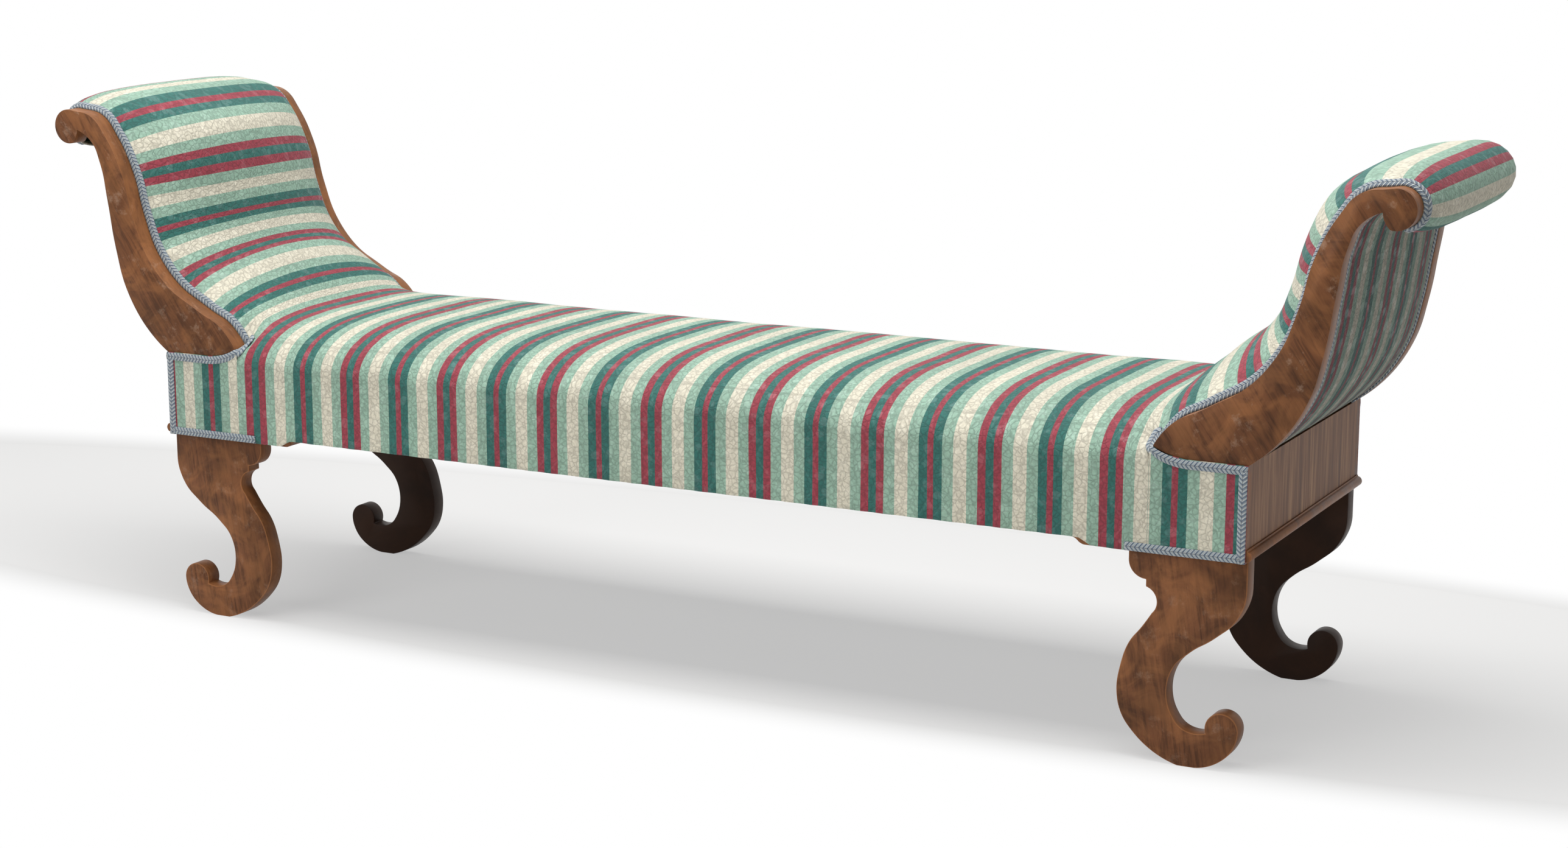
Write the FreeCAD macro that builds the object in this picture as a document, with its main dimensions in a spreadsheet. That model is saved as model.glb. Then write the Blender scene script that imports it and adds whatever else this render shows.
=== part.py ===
import FreeCAD, Part
import math
import os

import Sketcher
from FreeCAD import Placement, Rotation, Vector

# Recamier: a backless seat with two scrolled ends on four scroll legs.
# The origin is on the floor under the middle of the seat. X runs along the seat,
# -Y is the front, and Z is up. The object is the same at both ends and on both faces.

doc = FreeCAD.newDocument("recamier")

# Driving sizes in millimetres. Each row is an alias, its value and what it measures.
SIZES = [
    ("half_span", 877.5, "middle of the seat to the outside of an end rail"),
    ("half_depth", 248.5, "middle of the seat to the outside of a long rail"),
    ("rail_top", 420, "floor to the top of the rails"),
    ("rail_foot", 290, "floor to the underside of the long rails over the legs"),
    ("arch_lift", 9.5, "how much higher that underside is between the legs"),
    ("rail_thick", 42, "thickness of a long rail"),
    ("step_reach", 232.5, "outside of an end rail to the small ogee under a long rail"),
    ("step_run", 22, "length of that ogee"),
    ("edge_bevel", 14, "bevel on a long rail's top edge under the seat"),
    ("end_rail_thick", 26, "thickness of an end rail"),
    ("corner_lip", 12, "end grain of a long rail that shows past its rebate"),
    ("bead_rise", 16, "height of the moulding under an end rail"),
    ("bead_reach", 8, "how far that moulding stands out"),
    ("bead_lift", 2, "underside of the rail to the underside of the moulding"),
    ("block_leg", 60, "side of a corner block"),
    ("block_rise", 50, "height of a corner block"),
    ("block_drop", 20, "top of the rails to the top of a corner block"),
    ("brace_at", 300, "middle of the seat to the middle of a cross brace"),
    ("brace_thick", 28, "thickness of a cross brace"),
    ("brace_lift", 28.5, "underside of the long rails to the underside of a cross brace"),
    ("brace_drop", 22, "top of the rails to the top of a cross brace"),
    ("brace_dish", 18, "hollow in the top of a cross brace, clear of the webbing"),
    ("brace_tenon", 14, "length of a cross brace's tenon"),
    ("leg_width", 164.5, "width of a leg's head"),
    ("leg_thick", 27, "thickness of a leg"),
    ("leg_setback", 11.5, "face of a long rail to the face of a leg"),
    ("ovolo_radius", 25, "quarter round on the inner corner of a leg's head"),
    ("ovolo_drop", 15, "plain edge above that quarter round"),
    ("fillet_drop", 10, "small upright under the quarter round"),
    ("cove_depth", 15.5, "how far the hollow under the fillet cuts into the leg"),
    ("cove_rise", 35, "height of that hollow"),
    ("knee_reach", 177.5, "outside of the end rail to the innermost point of a leg"),
    ("foot_reach", 77.5, "outside of the end rail to the middle of a foot"),
    ("foot_flat", 24, "length of the flat that a foot stands on"),
    ("curl_reach", 29.5, "outside of the end rail to the centre of the leg's scroll"),
    ("curl_rise", 57, "floor to the centre of the leg's scroll"),
    ("curl_radius", 23, "radius of the leg's scroll"),
    ("board_thick", 28, "thickness of an arm board"),
    ("toe_reach", 130.5, "outside of an end rail in to the toe of an arm board"),
    ("toe_lift", 14, "top of the rails to the tip of the toe"),
    ("toe_run", 53, "tip of the toe to where it rests on the rail"),
    ("scroll_reach", 177.5, "outside of an end rail out to the centre of an arm's scroll"),
    ("scroll_lift", 342, "top of the rails to the centre of an arm's scroll"),
    ("scroll_radius", 26.5, "radius of an arm's scroll"),
    ("roll_rail_radius", 17, "radius of the rail inside an arm's roll"),
    ("middle_rail_thick", 16, "thickness of the middle rail of an arm"),
    ("middle_rail_width", 46, "width of the middle rail of an arm"),
    ("middle_rail_tilt", 16, "lean of the middle rail, in degrees"),
    ("lower_rail_reach", 22.5, "outside of an end rail to the lower rail of an arm"),
    ("lower_rail_thick", 22, "thickness of the lower rail of an arm"),
    ("lower_rail_width", 50, "height of the lower rail of an arm"),
    ("lower_rail_lift", 6, "top of the rails to the underside of the lower rail"),
    ("tenon_shoulder", 4, "edge of an arm rail to the side of its tenon"),
    ("roll_tenon", 14, "side of the square tenon on the rail inside the roll"),
    ("tenon_long", 16, "length of the arm rails' tenons"),
    ("dowel_thick", 10, "thickness of a flat dowel"),
    ("dowel_long", 50, "length of a flat dowel, half in each piece"),
    ("leg_dowel_wide", 90, "width of a leg's flat dowel"),
    ("board_dowel_wide", 44, "width of an arm board's flat dowel"),
    ("board_dowel_reach", 51.5, "outside of an end rail to the middle of that dowel"),
    ("glue_play", 0.1, "clearance round a dowel or a tenon"),
    ("web_wide", 50, "width of the webbing"),
    ("web_thick", 1.5, "thickness of the webbing"),
    ("web_pitch", 118, "between two webs across the seat"),
    ("web_rows", 110, "between two webs along the seat"),
    ("arm_web_rows", 130, "between two webs on an arm"),
    ("hessian_thick", 1, "thickness of the hessian"),
    ("hessian_depth", 14, "edge of an arm board to the face of the arm's hessian"),
    ("cloth_thick", 1.5, "thickness of the cover and its lining"),
    ("soft_play", 0.3, "clearance between soft layers"),
    ("seat_lap", 12, "top of the rails down to where the seat turns over its edge"),
    ("seat_rise", 56, "top of the rails to the top of the seat"),
    ("seat_end_rise", 70, "top of the rails to the top of the seat where it meets an arm"),
    ("arm_crown", 62, "how far an arm's padding stands above its boards"),
    ("roll_crown", 24, "how far the roll stands above its boards"),
    ("gimp_wide", 12, "width of the gimp braid"),
    ("gimp_thick", 2, "thickness of the gimp braid"),
    ("panel_inset", 3, "edge of an arm board to the outside cover"),
    ("panel_thick", 4, "thickness of the outside cover and its lining"),
    ("under_cloth_thick", 0.8, "thickness of the cloth under the seat"),
    ("under_cloth_gap", 14, "edge of the long rails to that cloth"),
]

sheet = doc.addObject("Spreadsheet::Sheet", "Sizes")
for row, (alias, value, meaning) in enumerate(SIZES, start=1):
    sheet.set("A%d" % row, alias)
    sheet.set("B%d" % row, str(value))
    sheet.set("C%d" % row, meaning)
    sheet.setAlias("B%d" % row, alias)
doc.recompute()

LEFT, RIGHT = -1, 1
SIDES = (("left", LEFT), ("right", RIGHT))

# Through points of the curves, as shares of a leg's width in from the end rail's
# outside and of the leg's height.
KNEE_ABOVE = [(0.860, 0.648), (0.988, 0.548), (1.055, 0.431)]
KNEE_HEIGHT = 0.340
KNEE_BELOW = [(1.043, 0.221), (0.891, 0.107), (0.696, 0.031)]
HEEL = [(0.216, 0.035), (0.094, 0.100)]
CURL_MOUTH = 198
HOLLOW = [(0.398, 0.164), (0.514, 0.181), (0.611, 0.248), (0.650, 0.348), (0.593, 0.466),
          (0.465, 0.541), (0.258, 0.624), (0.088, 0.714)]
HIP_HEIGHT = 0.862

# The same for an arm board, as shares of the way from its toe to its scroll's centre
# and from the top of the rails to that centre.
INNER_EDGE = [(0.078, 0.130), (0.226, 0.203), (0.416, 0.307), (0.539, 0.444),
              (0.614, 0.614), (0.666, 0.789), (0.752, 0.947), (0.854, 1.053)]
MIDDLE_RAIL = (0.687, 0.570)
SCROLL_START, SCROLL_END = 100, -105
THROAT_LIP = (0.955, 0.953)
THROAT = (0.945, 0.987)
OUTER_EDGE = [(0.903, 0.971), (0.851, 0.933), (0.802, 0.833), (0.768, 0.673),
              (0.731, 0.468), (0.674, 0.278), (0.555, 0.105)]

# The swell of the seat across its depth, and of the arms between their boards.
SEAT_SWELL = (3.5, 0.5)
ARM_SWELL = (2.0, 0.6)

# Where the soft solids have their edges, as shares of the way from the middle out and in
# degrees round a scroll, and the share of a board's edge past which an arm becomes its roll.
SEAT_STEPS = (0, 0.45, 0.7, 0.86, 0.95, 0.99, 1)
ARM_STEPS = (0, 0.5, 0.85, 1)
ROLL_FROM = 0.8
ROLL_TURNS = (60, 20, -20, -60, -100)


# An arc that turns by less than this, in radians, is drawn as a line.
STRAIGHT = 1e-3


def size(alias):
    """A driving size, read from the sheet."""
    return float(sheet.get(alias))


# Places along the seat that follow its span, as expressions over the sheet.
TOE = "(Sizes.half_span - Sizes.toe_reach)"
STEP = "(Sizes.half_span - Sizes.step_reach)"
SCROLL = "(Sizes.half_span + Sizes.scroll_reach)"
LEG_DOWEL = "(Sizes.half_span - Sizes.leg_width / 2)"
BOARD_DOWEL = "(Sizes.half_span - Sizes.board_dowel_reach)"


def worked_out(expression):
    """The value of one of those expressions, or of any other over the sheet."""
    return float(sheet.evalExpression(expression.replace("Sizes.", "")))


def check(label, shape):
    """Stop at a shape that is empty or broken."""
    if shape.isNull() or not shape.isValid():
        raise RuntimeError(label + " has no valid shape")


def corner(point):
    return Vector(point[0], point[1], 0)


def line(start, end):
    return Part.LineSegment(corner(start), corner(end))


def arc(start, middle, end):
    return Part.Arc(corner(start), corner(middle), corner(end))


def tangent_arc(start, way, end):
    """The arc that leaves start along way and ends at end."""
    start, way, end = corner(start), corner(way), corner(end)
    chord = end - start
    lean = math.atan2(chord.cross(way).z, chord.dot(way))
    if abs(lean) < STRAIGHT:
        return Part.LineSegment(start, end)
    middle = (start + end) * 0.5 + Vector(-chord.y, chord.x, 0) * (0.5 * math.tan(lean / 2))
    return Part.Arc(start, middle, end)


def headings(points, end=None):
    """The direction of a smooth curve at each of its points, where end may give the last one."""
    points = [corner(point) for point in points]
    steps = [b - a for a, b in zip(points, points[1:])]
    ways = []
    for before, after in zip(steps, steps[1:]):
        way = before * (after.Length / before.Length) + after * (before.Length / after.Length)
        ways.append(way.normalize())
    for step, way, index in ((steps[0], ways[0], 0), (steps[-1], ways[-1], len(ways) + 1)):
        chord = Vector(step).normalize()
        ways.insert(index, chord * (2 * chord.dot(way)) - way)
    if end:
        ways[-1] = corner(end).normalize()
    return ways


def curve(points, end=None):
    """A smooth curve through points, as two arcs from each to the next."""
    arcs = []
    ways = headings(points, end)
    for start, leave, finish, arrive in zip(points, ways, points[1:], ways[1:]):
        start, finish = corner(start), corner(finish)
        chord = finish - start
        along = chord.dot(leave + arrive)
        spread = 2 * (1 - leave.dot(arrive))
        if spread < STRAIGHT ** 2:
            reach = chord.dot(chord) / (2 * along)
        else:
            reach = (math.sqrt(along ** 2 + spread * chord.dot(chord)) - along) / spread
        joint = (start + finish + (leave - arrive) * reach) * 0.5
        arcs.append(tangent_arc(start, leave, joint))
        arcs.append(tangent_arc(joint, chord - (leave + arrive) * reach, finish))
    return arcs


def chain(points):
    """Straight lines from point to point and back to the first."""
    return [line(a, b) for a, b in zip(points, points[1:] + points[:1])]


def on_circle(centre, radius, degrees, side=RIGHT):
    turn = math.radians(degrees)
    return (centre[0] + side * radius * math.cos(turn), centre[1] + radius * math.sin(turn))


def plane(body, role):
    return next(item for item in body.Origin.OriginFeatures if item.Role == role)


def sketch_on(body, label, role, curves, offset=0.0):
    """A closed sketch on one of the body's own origin planes."""
    sketch = body.newObject("Sketcher::SketchObject", label)
    sketch.AttachmentSupport = [(plane(body, role), "")]
    sketch.MapMode = "FlatFace"
    sketch.AttachmentOffset = Placement(Vector(0, 0, offset), Rotation())
    for item in curves:
        index = sketch.addGeometry(item, False)
        sketch.addConstraint(Sketcher.Constraint("Block", index))
    return sketch


def padded(label, role, curves, length):
    """A body: a sketch padded by a length that the sheet gives."""
    body = doc.addObject("PartDesign::Body", label)
    pad = body.newObject("PartDesign::Pad", label + "_pad")
    pad.Profile = sketch_on(body, label + "_outline", role, curves)
    pad.setExpression("Length", length)
    doc.recompute()
    check(label, body.Shape)
    return body


def pocket(body, label, role, curves, depth, offset=0.0, reverse=False):
    """Cut a sketch into a body, and make sure that it did cut."""
    before = body.Shape.Volume
    cut = body.newObject("PartDesign::Pocket", label)
    cut.Profile = sketch_on(body, label + "_outline", role, curves, offset)
    cut.setExpression("Length", depth)
    cut.Reversed = reverse
    doc.recompute()
    check(label, body.Shape)
    if not body.Shape.Volume < before:
        raise RuntimeError(label + " cuts nothing")


def rectangle(low, high):
    return chain([low, (high[0], low[1]), high, (low[0], high[1])])


def place(piece, front, inner_face):
    """Stand a piece that is drawn for the front on the front, or turned round at the back.

    It is drawn from its inner face outwards, and inner_face is that face's distance
    from the middle of the seat.
    """
    piece.Placement = Placement(Vector(0, 0, 0), Rotation(Vector(0, 0, 1), 0 if front else 180))
    piece.setExpression("Placement.Base.y", ("-(%s)" if front else "%s") % inner_face)


def block(label, length, width, height, x, y, z):
    """A squared piece whose sizes and place are expressions over the sheet."""
    piece = doc.addObject("Part::Box", label)
    for name, expression in (("Length", length), ("Width", width), ("Height", height),
                             ("Placement.Base.x", x), ("Placement.Base.y", y),
                             ("Placement.Base.z", z)):
        piece.setExpression(name, expression)
    return piece


def group(label, pieces, kind="Part::Compound"):
    """Several solids in one node, or one solid fused from them."""
    joined = doc.addObject(kind, label)
    if kind == "Part::Compound":
        joined.Links = pieces
    else:
        joined.Shapes = pieces
    return joined


def shaped(label, shape):
    """A piece whose shape is worked out here from the sheet's sizes."""
    piece = doc.addObject("Part::Feature", label)
    check(label, shape)
    piece.Shape = shape
    return piece


nodes = []


# Long rails

def rail_underside(side_reach):
    """The lower edge of a long rail: a step down over each leg, with a small ogee."""
    foot, arch = size("rail_foot"), size("rail_foot") + size("arch_lift")
    low = worked_out(STEP) + size("step_run") / 2
    high = worked_out(STEP) - size("step_run") / 2
    edges = [line((-side_reach, foot), (-low, foot)), line((-high, arch), (high, arch)),
             line((low, foot), (side_reach, foot))]
    for side in (LEFT, RIGHT):
        middle = (side * worked_out(STEP), (foot + arch) / 2)
        edges.append(tangent_arc((side * low, foot), (-side, 0), middle))
        edges.append(tangent_arc((side * high, arch), (side, 0), middle))
    return edges


def long_rail(label, front):
    span, top, foot = size("half_span"), size("rail_top"), size("rail_foot")
    outline = rail_underside(span)
    outline += [line((span, foot), (span, top)), line((span, top), (-span, top)),
                line((-span, top), (-span, foot))]
    rail = padded(label, "XZ_Plane", outline, "Sizes.rail_thick")

    shoulder = span - size("end_rail_thick")
    margin = size("rail_thick")
    for name, side in SIDES:
        low, high = sorted((side * shoulder, side * (span + margin)))
        pocket(rail, label + "_rebate_" + name, "XZ_Plane",
               rectangle((low, foot - margin), (high, top + margin)),
               "Sizes.rail_thick - Sizes.corner_lip", reverse=True)

    mortise_foot = foot + size("arch_lift") + size("brace_lift")
    half = size("brace_thick") / 2 + size("glue_play")
    for name, side in SIDES:
        middle = side * size("brace_at")
        pocket(rail, label + "_mortise_" + name, "XZ_Plane",
               rectangle((middle - half, mortise_foot - size("glue_play")),
                         (middle + half, top - size("brace_drop") - size("brace_dish"))),
               "Sizes.brace_tenon + Sizes.glue_play", reverse=True)

    leg_line = -(size("rail_thick") - size("leg_setback") - size("leg_thick") / 2)
    board_line = -(size("rail_thick") - size("board_thick") / 2)
    for name, side in SIDES:
        pocket(rail, label + "_leg_slot_" + name, "XY_Plane",
               dowel_slot("leg", LEG_DOWEL, side, leg_line), SLOT_DEPTH, foot, reverse=True)
        pocket(rail, label + "_board_slot_" + name, "XY_Plane",
               dowel_slot("board", BOARD_DOWEL, side, board_line), SLOT_DEPTH, top)

    outer = -size("rail_thick")
    bevel = size("edge_bevel")
    wedge = chain([(outer, top - bevel), (outer + bevel, top), (outer, top)])
    toe = worked_out(TOE) - size("gimp_thick")
    pocket(rail, label + "_bevel", "YZ_Plane", wedge, "2 * (%s - Sizes.gimp_thick)" % TOE, -toe,
           reverse=True)
    place(rail, front, "Sizes.half_depth - Sizes.rail_thick")
    return rail


SLOT_DEPTH = "Sizes.dowel_long / 2 + Sizes.glue_play"


def dowel_slot(joint, along, side, y):
    """The mouth of the slot for the flat dowel of a leg or a board."""
    middle = side * worked_out(along)
    half_wide = size(joint + "_dowel_wide") / 2 + size("glue_play")
    half_thick = size("dowel_thick") / 2 + size("glue_play")
    return rectangle((middle - half_wide, y - half_thick), (middle + half_wide, y + half_thick))


nodes.append(long_rail("front_rail", True))
nodes.append(long_rail("back_rail", False))


# End rails and the mouldings under them

def bead(side):
    """A half-round moulding on the outside of an end rail."""
    face = side * size("half_span")
    nose = side * (size("half_span") + size("bead_reach"))
    low = size("rail_foot") + size("bead_lift")
    high = low + size("bead_rise")
    quirk = size("bead_rise") / 8
    neck = side * (size("half_span") + size("bead_reach") / 4)
    outline = [line((face, low), (neck, low)),
               arc((neck, low), (nose, (low + high - quirk) / 2), (neck, high - quirk)),
               line((neck, high - quirk), (neck, high)),
               line((neck, high), (face, high)), line((face, high), (face, low))]
    return outline


for name, side in SIDES:
    start = "-Sizes.half_span" if side == LEFT else "Sizes.half_span - Sizes.end_rail_thick"
    nodes.append(block("end_rail_" + name, "Sizes.end_rail_thick",
                       "2 * (Sizes.half_depth - Sizes.corner_lip)",
                       "Sizes.rail_top - Sizes.rail_foot", start,
                       "-(Sizes.half_depth - Sizes.corner_lip)", "Sizes.rail_foot"))
    moulding = padded("bead_" + name, "XZ_Plane", bead(side), "2 * Sizes.half_depth")
    moulding.setExpression("Placement.Base.y", "Sizes.half_depth")
    nodes.append(moulding)


# Corner blocks and cross braces inside the seat frame

blocks = []
for front in (True, False):
    for name, side in SIDES:
        x = side * (size("half_span") - size("end_rail_thick"))
        y = -(size("half_depth") - size("rail_thick"))
        leg = size("block_leg")
        label = "corner_block_%s_%s" % ("front" if front else "back", name)
        piece = padded(label, "XY_Plane", chain([(x, y), (x - side * leg, y), (x, y + leg)]),
                       "Sizes.block_rise")
        piece.Placement = Placement(Vector(0, 0, 0), Rotation(Vector(0, 0, 1), 0 if front else 180))
        piece.setExpression("Placement.Base.z", "Sizes.rail_top - Sizes.block_drop - Sizes.block_rise")
        blocks.append(piece)
nodes.append(group("corner_blocks", blocks))


def brace_outline():
    """A brace seen from the end of the seat: a dished top and a tenon at each end."""
    half = size("half_depth") - size("rail_thick")
    end = half + size("brace_tenon")
    high = size("rail_top") - size("brace_drop")
    low = size("rail_foot") + size("arch_lift") + size("brace_lift")
    shoulder = high - size("brace_dish")
    return [line((-end, low), (end, low)), line((end, low), (end, shoulder - size("glue_play"))),
            line((end, shoulder - size("glue_play")), (half, shoulder - size("glue_play"))),
            line((half, shoulder - size("glue_play")), (half, high)),
            arc((half, high), (0, shoulder), (-half, high)),
            line((-half, high), (-half, shoulder - size("glue_play"))),
            line((-half, shoulder - size("glue_play")), (-end, shoulder - size("glue_play"))),
            line((-end, shoulder - size("glue_play")), (-end, low))]


for name, side in SIDES:
    brace = padded("cross_brace_" + name, "YZ_Plane", brace_outline(), "Sizes.brace_thick")
    brace.setExpression("Placement.Base.x", "%d * Sizes.brace_at - Sizes.brace_thick / 2" % side)
    nodes.append(brace)


# Scroll legs

def leg_outline(side):
    """A scroll leg: moulded inner corner, bold knee, and a foot that curls outwards."""
    outer, head, width = size("half_span"), size("rail_foot"), size("leg_width")

    def at(reach, height):
        return (side * (outer - reach), height)

    def share(pair):
        return at(pair[0] * width, pair[1] * head)

    top_inner = at(width, head)
    round_top = at(width, head - size("ovolo_drop"))
    radius = size("ovolo_radius")
    round_foot = at(width - radius, head - size("ovolo_drop") - radius)
    slant = radius * math.sqrt(0.5)
    round_mid = at(width - radius + slant, head - size("ovolo_drop") - slant)
    cove_top = at(width - radius, round_foot[1] - size("fillet_drop"))
    cove_mid = at(width - radius - size("cove_depth"), cove_top[1] - size("cove_rise") / 2)
    cove_foot = at(width - radius - size("cove_depth") * 0.6, cove_top[1] - size("cove_rise"))
    knee = at(size("knee_reach"), KNEE_HEIGHT * head)
    foot_in = at(size("foot_reach") + size("foot_flat") / 2, 0)
    foot_out = at(size("foot_reach") - size("foot_flat") / 2, 0)
    curl = at(size("curl_reach"), size("curl_rise"))
    curl_out = on_circle(curl, size("curl_radius"), 0, side)
    curl_top = on_circle(curl, size("curl_radius"), 90, side)
    curl_mouth = on_circle(curl, size("curl_radius"), CURL_MOUTH, side)
    hip = at(0, HIP_HEIGHT * head)
    top_outer = at(0, head)
    moulding = [
        line(top_inner, round_top),
        arc(round_top, round_mid, round_foot),
        line(round_foot, cove_top),
        arc(cove_top, cove_mid, cove_foot),
    ]
    knee_edge = curve([cove_foot] + [share(p) for p in KNEE_ABOVE] + [knee]
                      + [share(p) for p in KNEE_BELOW] + [foot_in])
    heel_edge = curve([foot_out] + [share(p) for p in HEEL] + [curl_out], (0, 1))
    hollow_edge = curve([curl_mouth] + [share(p) for p in HOLLOW] + [hip], (0, 1))
    return (moulding + knee_edge + [line(foot_in, foot_out)] + heel_edge
            + [arc(curl_out, curl_top, curl_mouth)] + hollow_edge
            + [line(hip, top_outer), line(top_outer, top_inner)])


def leg(label, side, front):
    drawn_side = side if front else -side
    piece = padded(label, "XZ_Plane", leg_outline(drawn_side), "Sizes.leg_thick")
    pocket(piece, label + "_slot", "XY_Plane",
           dowel_slot("leg", LEG_DOWEL, drawn_side, -size("leg_thick") / 2),
           SLOT_DEPTH, size("rail_foot"))
    place(piece, front, "Sizes.half_depth - Sizes.leg_setback - Sizes.leg_thick")
    return piece


# Arm boards

def board_point(pair, side):
    """A point given as shares of an arm board's reach and rise."""
    reach = size("toe_reach") + size("scroll_reach")
    return (side * (worked_out(TOE) + pair[0] * reach),
            size("rail_top") + pair[1] * size("scroll_lift"))


def scroll_centre(side):
    return board_point((1, 1), side)


def scroll_point(degrees, side):
    return on_circle(scroll_centre(side), size("scroll_radius"), degrees, side)


def toe_tip(side):
    return (side * worked_out(TOE), size("rail_top") + size("toe_lift"))


def inner_edge(side):
    """The edge of an arm board that the padding follows: its points, and its way at the scroll."""
    turn = math.radians(SCROLL_START)
    points = [toe_tip(side)] + [board_point(pair, side) for pair in INNER_EDGE]
    return points + [scroll_point(SCROLL_START, side)], (side * math.sin(turn), -math.cos(turn))


def outer_edge(side):
    """The edge that the outside cover follows, from throat to rail."""
    points = [board_point(pair, side) for pair in [THROAT] + OUTER_EDGE]
    return points + [(side * size("half_span"), size("rail_top"))]


def board_outline(side):
    heel = (side * size("half_span"), size("rail_top"))
    toe_foot = (side * (worked_out(TOE) + size("toe_run")), size("rail_top"))
    scroll_foot = scroll_point(SCROLL_END, side)
    scroll = [arc(scroll_point(SCROLL_START, side), scroll_point(0, side), scroll_foot),
              arc(scroll_foot, board_point(THROAT_LIP, side), board_point(THROAT, side))]
    foot = [line(heel, toe_foot), tangent_arc(toe_foot, (-side, 0), toe_tip(side))]
    return curve(*inner_edge(side)) + scroll + curve(outer_edge(side)) + foot


def section(kind, side, margin, centre=(0, 0)):
    """The section of an arm rail, grown by a margin all round, leaning outwards if it leans."""
    half_thick = size(kind + "_rail_thick") / 2 + margin
    half_wide = size(kind + "_rail_width") / 2 + margin
    lean = math.radians(size("middle_rail_tilt")) if kind == "middle" else 0
    across = Vector(side * math.cos(lean), -math.sin(lean), 0) * half_thick
    along = Vector(side * math.sin(lean), math.cos(lean), 0) * half_wide
    return chain([corner(centre) + across * a + along * b
                  for a, b in ((-1, -1), (1, -1), (1, 1), (-1, 1))])


def square(side_length, centre=(0, 0)):
    half = side_length / 2
    return rectangle((centre[0] - half, centre[1] - half), (centre[0] + half, centre[1] + half))


def sockets(side):
    """The mouths of the mortises where the three rails of an arm enter a board."""
    play = size("glue_play")
    lower = (side * (size("half_span") - size("lower_rail_reach")),
             size("rail_top") + size("lower_rail_lift") + size("lower_rail_width") / 2)
    return (square(size("roll_tenon") + 2 * play, scroll_centre(side))
            + section("middle", side, play - size("tenon_shoulder"),
                      board_point(MIDDLE_RAIL, side))
            + section("lower", side, play - size("tenon_shoulder"), lower))


def arm_board(label, side, front):
    drawn_side = side if front else -side
    piece = padded(label, "XZ_Plane", board_outline(drawn_side), "Sizes.board_thick")
    pocket(piece, label + "_sockets", "XZ_Plane", sockets(drawn_side),
           "Sizes.tenon_long + Sizes.glue_play", reverse=True)
    pocket(piece, label + "_slot", "XY_Plane",
           dowel_slot("board", BOARD_DOWEL, drawn_side, -size("board_thick") / 2),
           SLOT_DEPTH, size("rail_top"), reverse=True)
    place(piece, front, "Sizes.half_depth - Sizes.board_thick")
    return piece


for front in (True, False):
    for name, side in SIDES:
        row = "front" if front else "back"
        nodes.append(leg("leg_%s_%s" % (row, name), side, front))
        nodes.append(arm_board("arm_board_%s_%s" % (row, name), side, front))


# Flat dowels, or loose tenons, between the legs, the long rails and the arm boards

def dowels(joint, along, depth, z):
    pieces = []
    for sign, row in ((-1, "front"), (1, "back")):
        for name, side in SIDES:
            wide = "Sizes.%s_dowel_wide" % joint
            pieces.append(block("%s_dowel_%s_%s" % (joint, row, name), wide,
                                "Sizes.dowel_thick", "Sizes.dowel_long",
                                "%d * %s - %s / 2" % (side, along, wide),
                                "%d * (%s) - Sizes.dowel_thick / 2" % (sign, depth),
                                z + " - Sizes.dowel_long / 2"))
    return group(joint + "_dowels", pieces)


nodes.append(dowels("leg", LEG_DOWEL,
                    "Sizes.half_depth - Sizes.leg_setback - Sizes.leg_thick / 2",
                    "Sizes.rail_foot"))
nodes.append(dowels("board", BOARD_DOWEL, "Sizes.half_depth - Sizes.board_thick / 2",
                    "Sizes.rail_top"))


# Rails between the two boards of an arm, each with a tenon at both ends

INSIDE = "(Sizes.half_depth - Sizes.board_thick)"


def arm_rail(label, outline, tenon, x, z):
    """A rail and one longer core through it, whose ends are its tenons."""
    pieces = []
    for part, curves, half in (("_bar", outline, INSIDE),
                               ("_core", tenon, "(%s + Sizes.tenon_long)" % INSIDE)):
        piece = padded(label + part, "XZ_Plane", curves, "2 * " + half)
        for axis, expression in (("x", x), ("y", half), ("z", z)):
            piece.setExpression("Placement.Base." + axis, expression)
        pieces.append(piece)
    return group(label, pieces, "Part::MultiFuse")


for name, side in SIDES:
    shoulder = size("tenon_shoulder")
    nodes.append(arm_rail("roll_rail_" + name,
                          [Part.Circle(corner((0, 0)), Vector(0, 0, 1), size("roll_rail_radius"))],
                          square(size("roll_tenon")), "%d * %s" % (side, SCROLL),
                          "Sizes.rail_top + Sizes.scroll_lift"))
    nodes.append(arm_rail("middle_rail_" + name, section("middle", side, 0),
                          section("middle", side, -shoulder),
                          "%d * (%s + %g * (Sizes.toe_reach + Sizes.scroll_reach))"
                          % (side, TOE, MIDDLE_RAIL[0]),
                          "Sizes.rail_top + %g * Sizes.scroll_lift" % MIDDLE_RAIL[1]))
    nodes.append(arm_rail("lower_rail_" + name, section("lower", side, 0),
                          section("lower", side, -shoulder),
                          "%d * (Sizes.half_span - Sizes.lower_rail_reach)" % side,
                          "Sizes.rail_top + Sizes.lower_rail_lift + Sizes.lower_rail_width / 2"))


# Webbing and hessian under the seat's stuffing

webs = []
reach = int((worked_out(TOE) - size("web_wide")) / size("web_pitch"))
for number in range(-reach, reach + 1):
    webs.append(block("cross_web_%d" % (number + reach + 1), "Sizes.web_wide",
                      "2 * (Sizes.half_depth - Sizes.edge_bevel)", "Sizes.web_thick",
                      "%d * Sizes.web_pitch - Sizes.web_wide / 2" % number,
                      "-(Sizes.half_depth - Sizes.edge_bevel)", "Sizes.rail_top"))
nodes.append(group("cross_webbing", webs))

webs = []
for number, row in enumerate((-1.5, -0.5, 0.5, 1.5), start=1):
    webs.append(block("long_web_%d" % number, "2 * (Sizes.half_span - Sizes.corner_lip)",
                      "Sizes.web_wide", "Sizes.web_thick",
                      "-(Sizes.half_span - Sizes.corner_lip)",
                      "%g * Sizes.web_rows - Sizes.web_wide / 2" % row,
                      "Sizes.rail_top + Sizes.web_thick"))
nodes.append(group("long_webbing", webs))

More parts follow.
